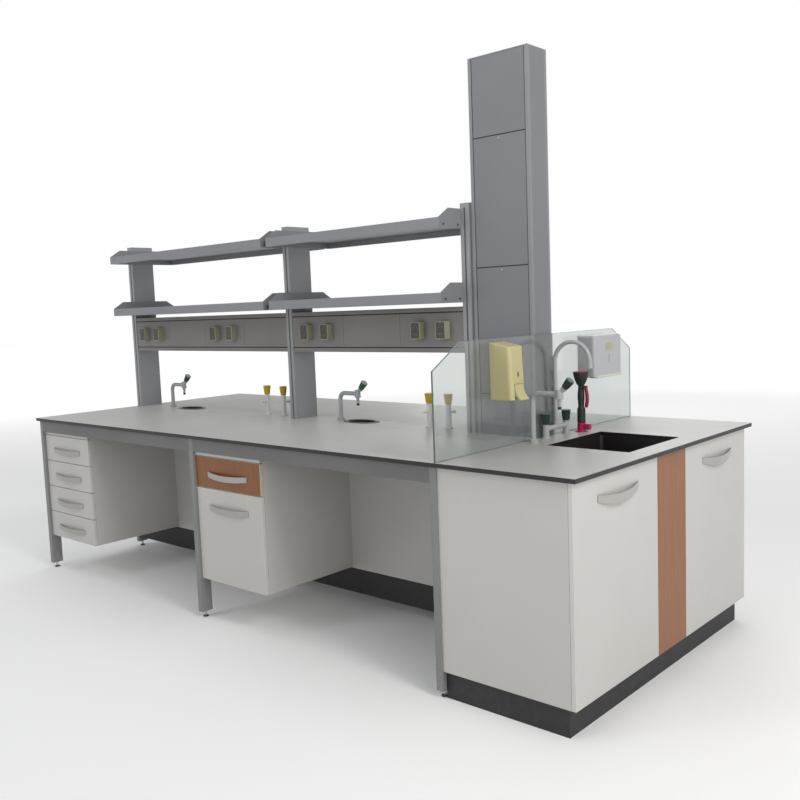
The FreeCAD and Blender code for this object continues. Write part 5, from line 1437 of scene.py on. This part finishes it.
def raceway_trim():
    """Dark strips of painted shadow in the grooves above and below the cover panels of the raceways."""
    rails = [box for box in parts_of("raceways") if box[1].y - box[0].y > 0.1]
    for number, (low, high) in enumerate(rails, 1):
        level = high.z if low.z < RACEWAY_MIDDLE else low.z - GROOVE_HEIGHT
        for label, face in (("near", -RACEWAY_FACE), ("far", RACEWAY_FACE - GROOVE_DEPTH)):
            shadow_gap_strip(
                f"raceway_strip_{number}_{label}",
                (low.x, face, level), (high.x, face + GROOVE_DEPTH, level + GROOVE_HEIGHT),
            )


column_trim()
plate_screw_heads()
raceway_trim()


# Basin, cups and feet

BASIN_FLANGE = 0.009
BASIN_WALL = 0.006
STRAINER_SIDES = 48
THREAD_TURNS = 11
THREAD_PITCH = 0.0018


def basin():
    """The black basin with rounded corners, and the strainer over its waste."""
    low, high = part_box("sink_basin")
    tub = start_block(
        "basin_shell", (low.x + BASIN_FLANGE, low.y + BASIN_FLANGE, low.z),
        (high.x - BASIN_FLANGE, high.y - BASIN_FLANGE, high.z),
    )
    floor = low.z + BASIN_WALL
    with edit(tub):
        round_off(tub, lambda middle, along: abs(along.z) > 0.9, 0.024, 6)
        pick(tub, "FACE", lambda middle, normal: normal.z > 0.9)
        bpy.ops.mesh.inset(thickness=BASIN_WALL)
        push((0, 0, floor - high.z))
        resize((0.94, 0.94, 1), (low + high) / 2)
        round_off(tub, lambda middle, along: abs(middle.z - floor) < 0.001 and abs(along.z) < 0.2, 0.016, 4)
        round_off(tub, lambda middle, along: abs(middle.z - low.z) < 0.001, 0.010, 3)
    outward(tub)
    rim = start_block("basin_rim", (low.x, low.y, high.z - BASIN_WALL), (high.x, high.y, high.z))
    with edit(rim):
        round_off(rim, lambda middle, along: abs(along.z) > 0.9, 0.030, 6)
        pick(rim, "FACE", lambda middle, normal: abs(normal.z) > 0.9)
        bpy.ops.mesh.inset(thickness=BASIN_FLANGE)
        bpy.ops.mesh.bridge_edge_loops()
    outward(rim)
    middle = (low + high) / 2
    strainer = turned("basin_strainer", [
        (-0.004, 0.022), (0.0005, 0.022), (0.0005, 0.044), (0.0025, 0.044), (0.0032, 0.042), (0.0032, 0.034),
        (0.0018, 0.032), (0.0016, 0.026), (0.0014, 0.022), (0.0014, 0.016), (0.0012, 0.012), (0.0012, 0.005),
    ], STRAINER_SIDES)
    with edit(strainer):
        pick(strainer, "FACE", lambda spot, normal: normal.z > 0.9 and spot.z < 0.0016 and (
            0.023 < spot.xy.length < 0.025 or 0.013 < spot.xy.length < 0.015
        ) and column_of(spot, STRAINER_SIDES) % 3 > 0)
        push((0, 0, -0.003))
    fit(tub, basin_black, "bench", "sink_basin")
    fit(rim, basin_black, "bench")
    fit(strainer, runner_zinc, "bench", None, (middle.x, middle.y, floor))


def cups():
    """The oval cup sinks with rolled rims, each with its outlet and strainer."""
    for number, (low, high) in enumerate(parts_of("cup_sinks"), 1):
        middle = (low + high) / 2
        half = (high.y - low.y) / 2
        stretch = (high.x - low.x) / (high.y - low.y)
        top = high.z
        cup = turned(f"cup_shell_{number}", [
            (-0.108, 0.034), (-0.104, 0.044), (-0.094, 0.0502), (-0.003, half - 0.011),
            (-0.003, half - 0.001), (-0.0022, half), (-0.001, half - 0.0003), (0, half - 0.002),
            (0, half - 0.013), (-0.002, half - 0.016), (-0.080, 0.0450), (-0.092, 0.0420),
            (-0.099, 0.0340), (-0.102, 0.0230),
        ], 64)
        with edit(cup):
            pick_all()
            resize((stretch, 1, 1), (0, 0, 0))
        outlet = turned(f"cup_outlet_{number}", [
            (low.z - top, 0.018), (low.z - top, 0.020), (-0.108, 0.020), (-0.100, 0.021), (-0.0995, 0.017),
            (-0.1015, 0.015), (-0.1015, 0.008),
        ], 32)
        spot = (middle.x, middle.y, top)
        fit(cup, basin_black, "bench", "cup_sinks" if number == 1 else None, spot)
        fit(outlet, basin_black, "bench", None, spot)


def feet():
    """The levelling feet: rounded pad, threaded stem and lock nut, one under each leg."""
    pad = turned("foot_pad", [
        (0, 0.0128), (0.0008, 0.0140), (0.0040, 0.0140), (0.0056, 0.0132), (0.0068, 0.0085), (0.0080, 0.0070),
    ], 32)
    coat(pad, black_rubber)
    rings = [(0.0080, 0.0050)]
    for index in range(THREAD_TURNS):
        foot = 0.0085 + THREAD_PITCH * index
        rings += [(foot, 0.0050), (foot + 0.0007, 0.0044), (foot + 0.0013, 0.0050)]
    stem = turned("foot_stem", rings + [(0.0300, 0.0050)], 20)
    nut = turned("foot_nut", [(0.0232, 0.0082), (0.0238, 0.0092), (0.0290, 0.0092), (0.0296, 0.0082)], 6)
    for piece in (stem, nut):
        coat(piece, runner_zinc)
    spots = [(low + high) / 2 for low, high in parts_of("levelling_feet")]
    for number, spot in enumerate(spots, 1):
        for source in (pad, stem, nut):
            piece = copy_of(source, f"{source.name}_{number}", (spot.x, spot.y, 0))
            first = number == 1 and source is pad
            finish_piece(piece, "bench", "levelling_feet" if first else None)
    discard(pad, stem, nut)


basin()
cups()
feet()


# White surroundings and floor

def studio_air():
    """Soft pale light from all round, seen by the camera as plain white."""
    world = bpy.data.worlds.new("studio_air")
    world.use_nodes = True
    tree = world.node_tree
    seen = step(tree, "LightPath").outputs["Is Camera Ray"]
    mirrored = step(tree, "LightPath").outputs["Is Glossy Ray"]
    tone = blend(tree, mirrored, rgb(0.34, 0.345, 0.35), rgb(0.62, 0.62, 0.62))
    tone = blend(tree, seen, tone, rgb(0.99, 0.99, 0.99))
    air = tree.nodes["Background"]
    tree.links.new(tone, air.inputs["Color"])
    bpy.context.scene.world = world


FLOOR_SIZE = 90
FLOOR_NEAR = 3.0
FLOOR_FAR = 11.0


def pale_floor():
    """A wide pale studio floor."""
    bpy.ops.object.select_all(action="DESELECT")
    bpy.ops.mesh.primitive_plane_add(size=FLOOR_SIZE, location=(0, 0, 0))
    floor = bpy.context.active_object
    floor.name = "studio_floor"
    bpy.ops.object.transform_apply(location=True, rotation=True, scale=True)
    paint = bpy.data.materials.new("floor_paint")
    paint.use_nodes = True
    tree = paint.node_tree
    shader = tree.nodes["Principled BSDF"]
    place = stretched(tree, (1, 1, 1))
    drift = noise(tree, place, 0.5, 4)
    colour = blend(tree, drift, rgb(0.95, 0.95, 0.95), rgb(0.92, 0.92, 0.92))
    away = step(tree, "VectorMath", {0: place}, operation="LENGTH").outputs["Value"]
    distant = ramp(tree, away, FLOOR_NEAR, FLOOR_FAR)
    tree.links.new(blend(tree, distant, colour, rgb(0, 0, 0)), shader.inputs["Base Color"])
    glow = blend(tree, distant, rgb(0.05, 0.05, 0.05), rgb(0.96, 0.96, 0.96))
    tree.links.new(glow, shader.inputs["Emission Color"])
    shader.inputs["Emission Strength"].default_value = 1.0
    shader.inputs["Roughness"].default_value = 0.8
    floor.data.materials.append(paint)


studio_air()
pale_floor()
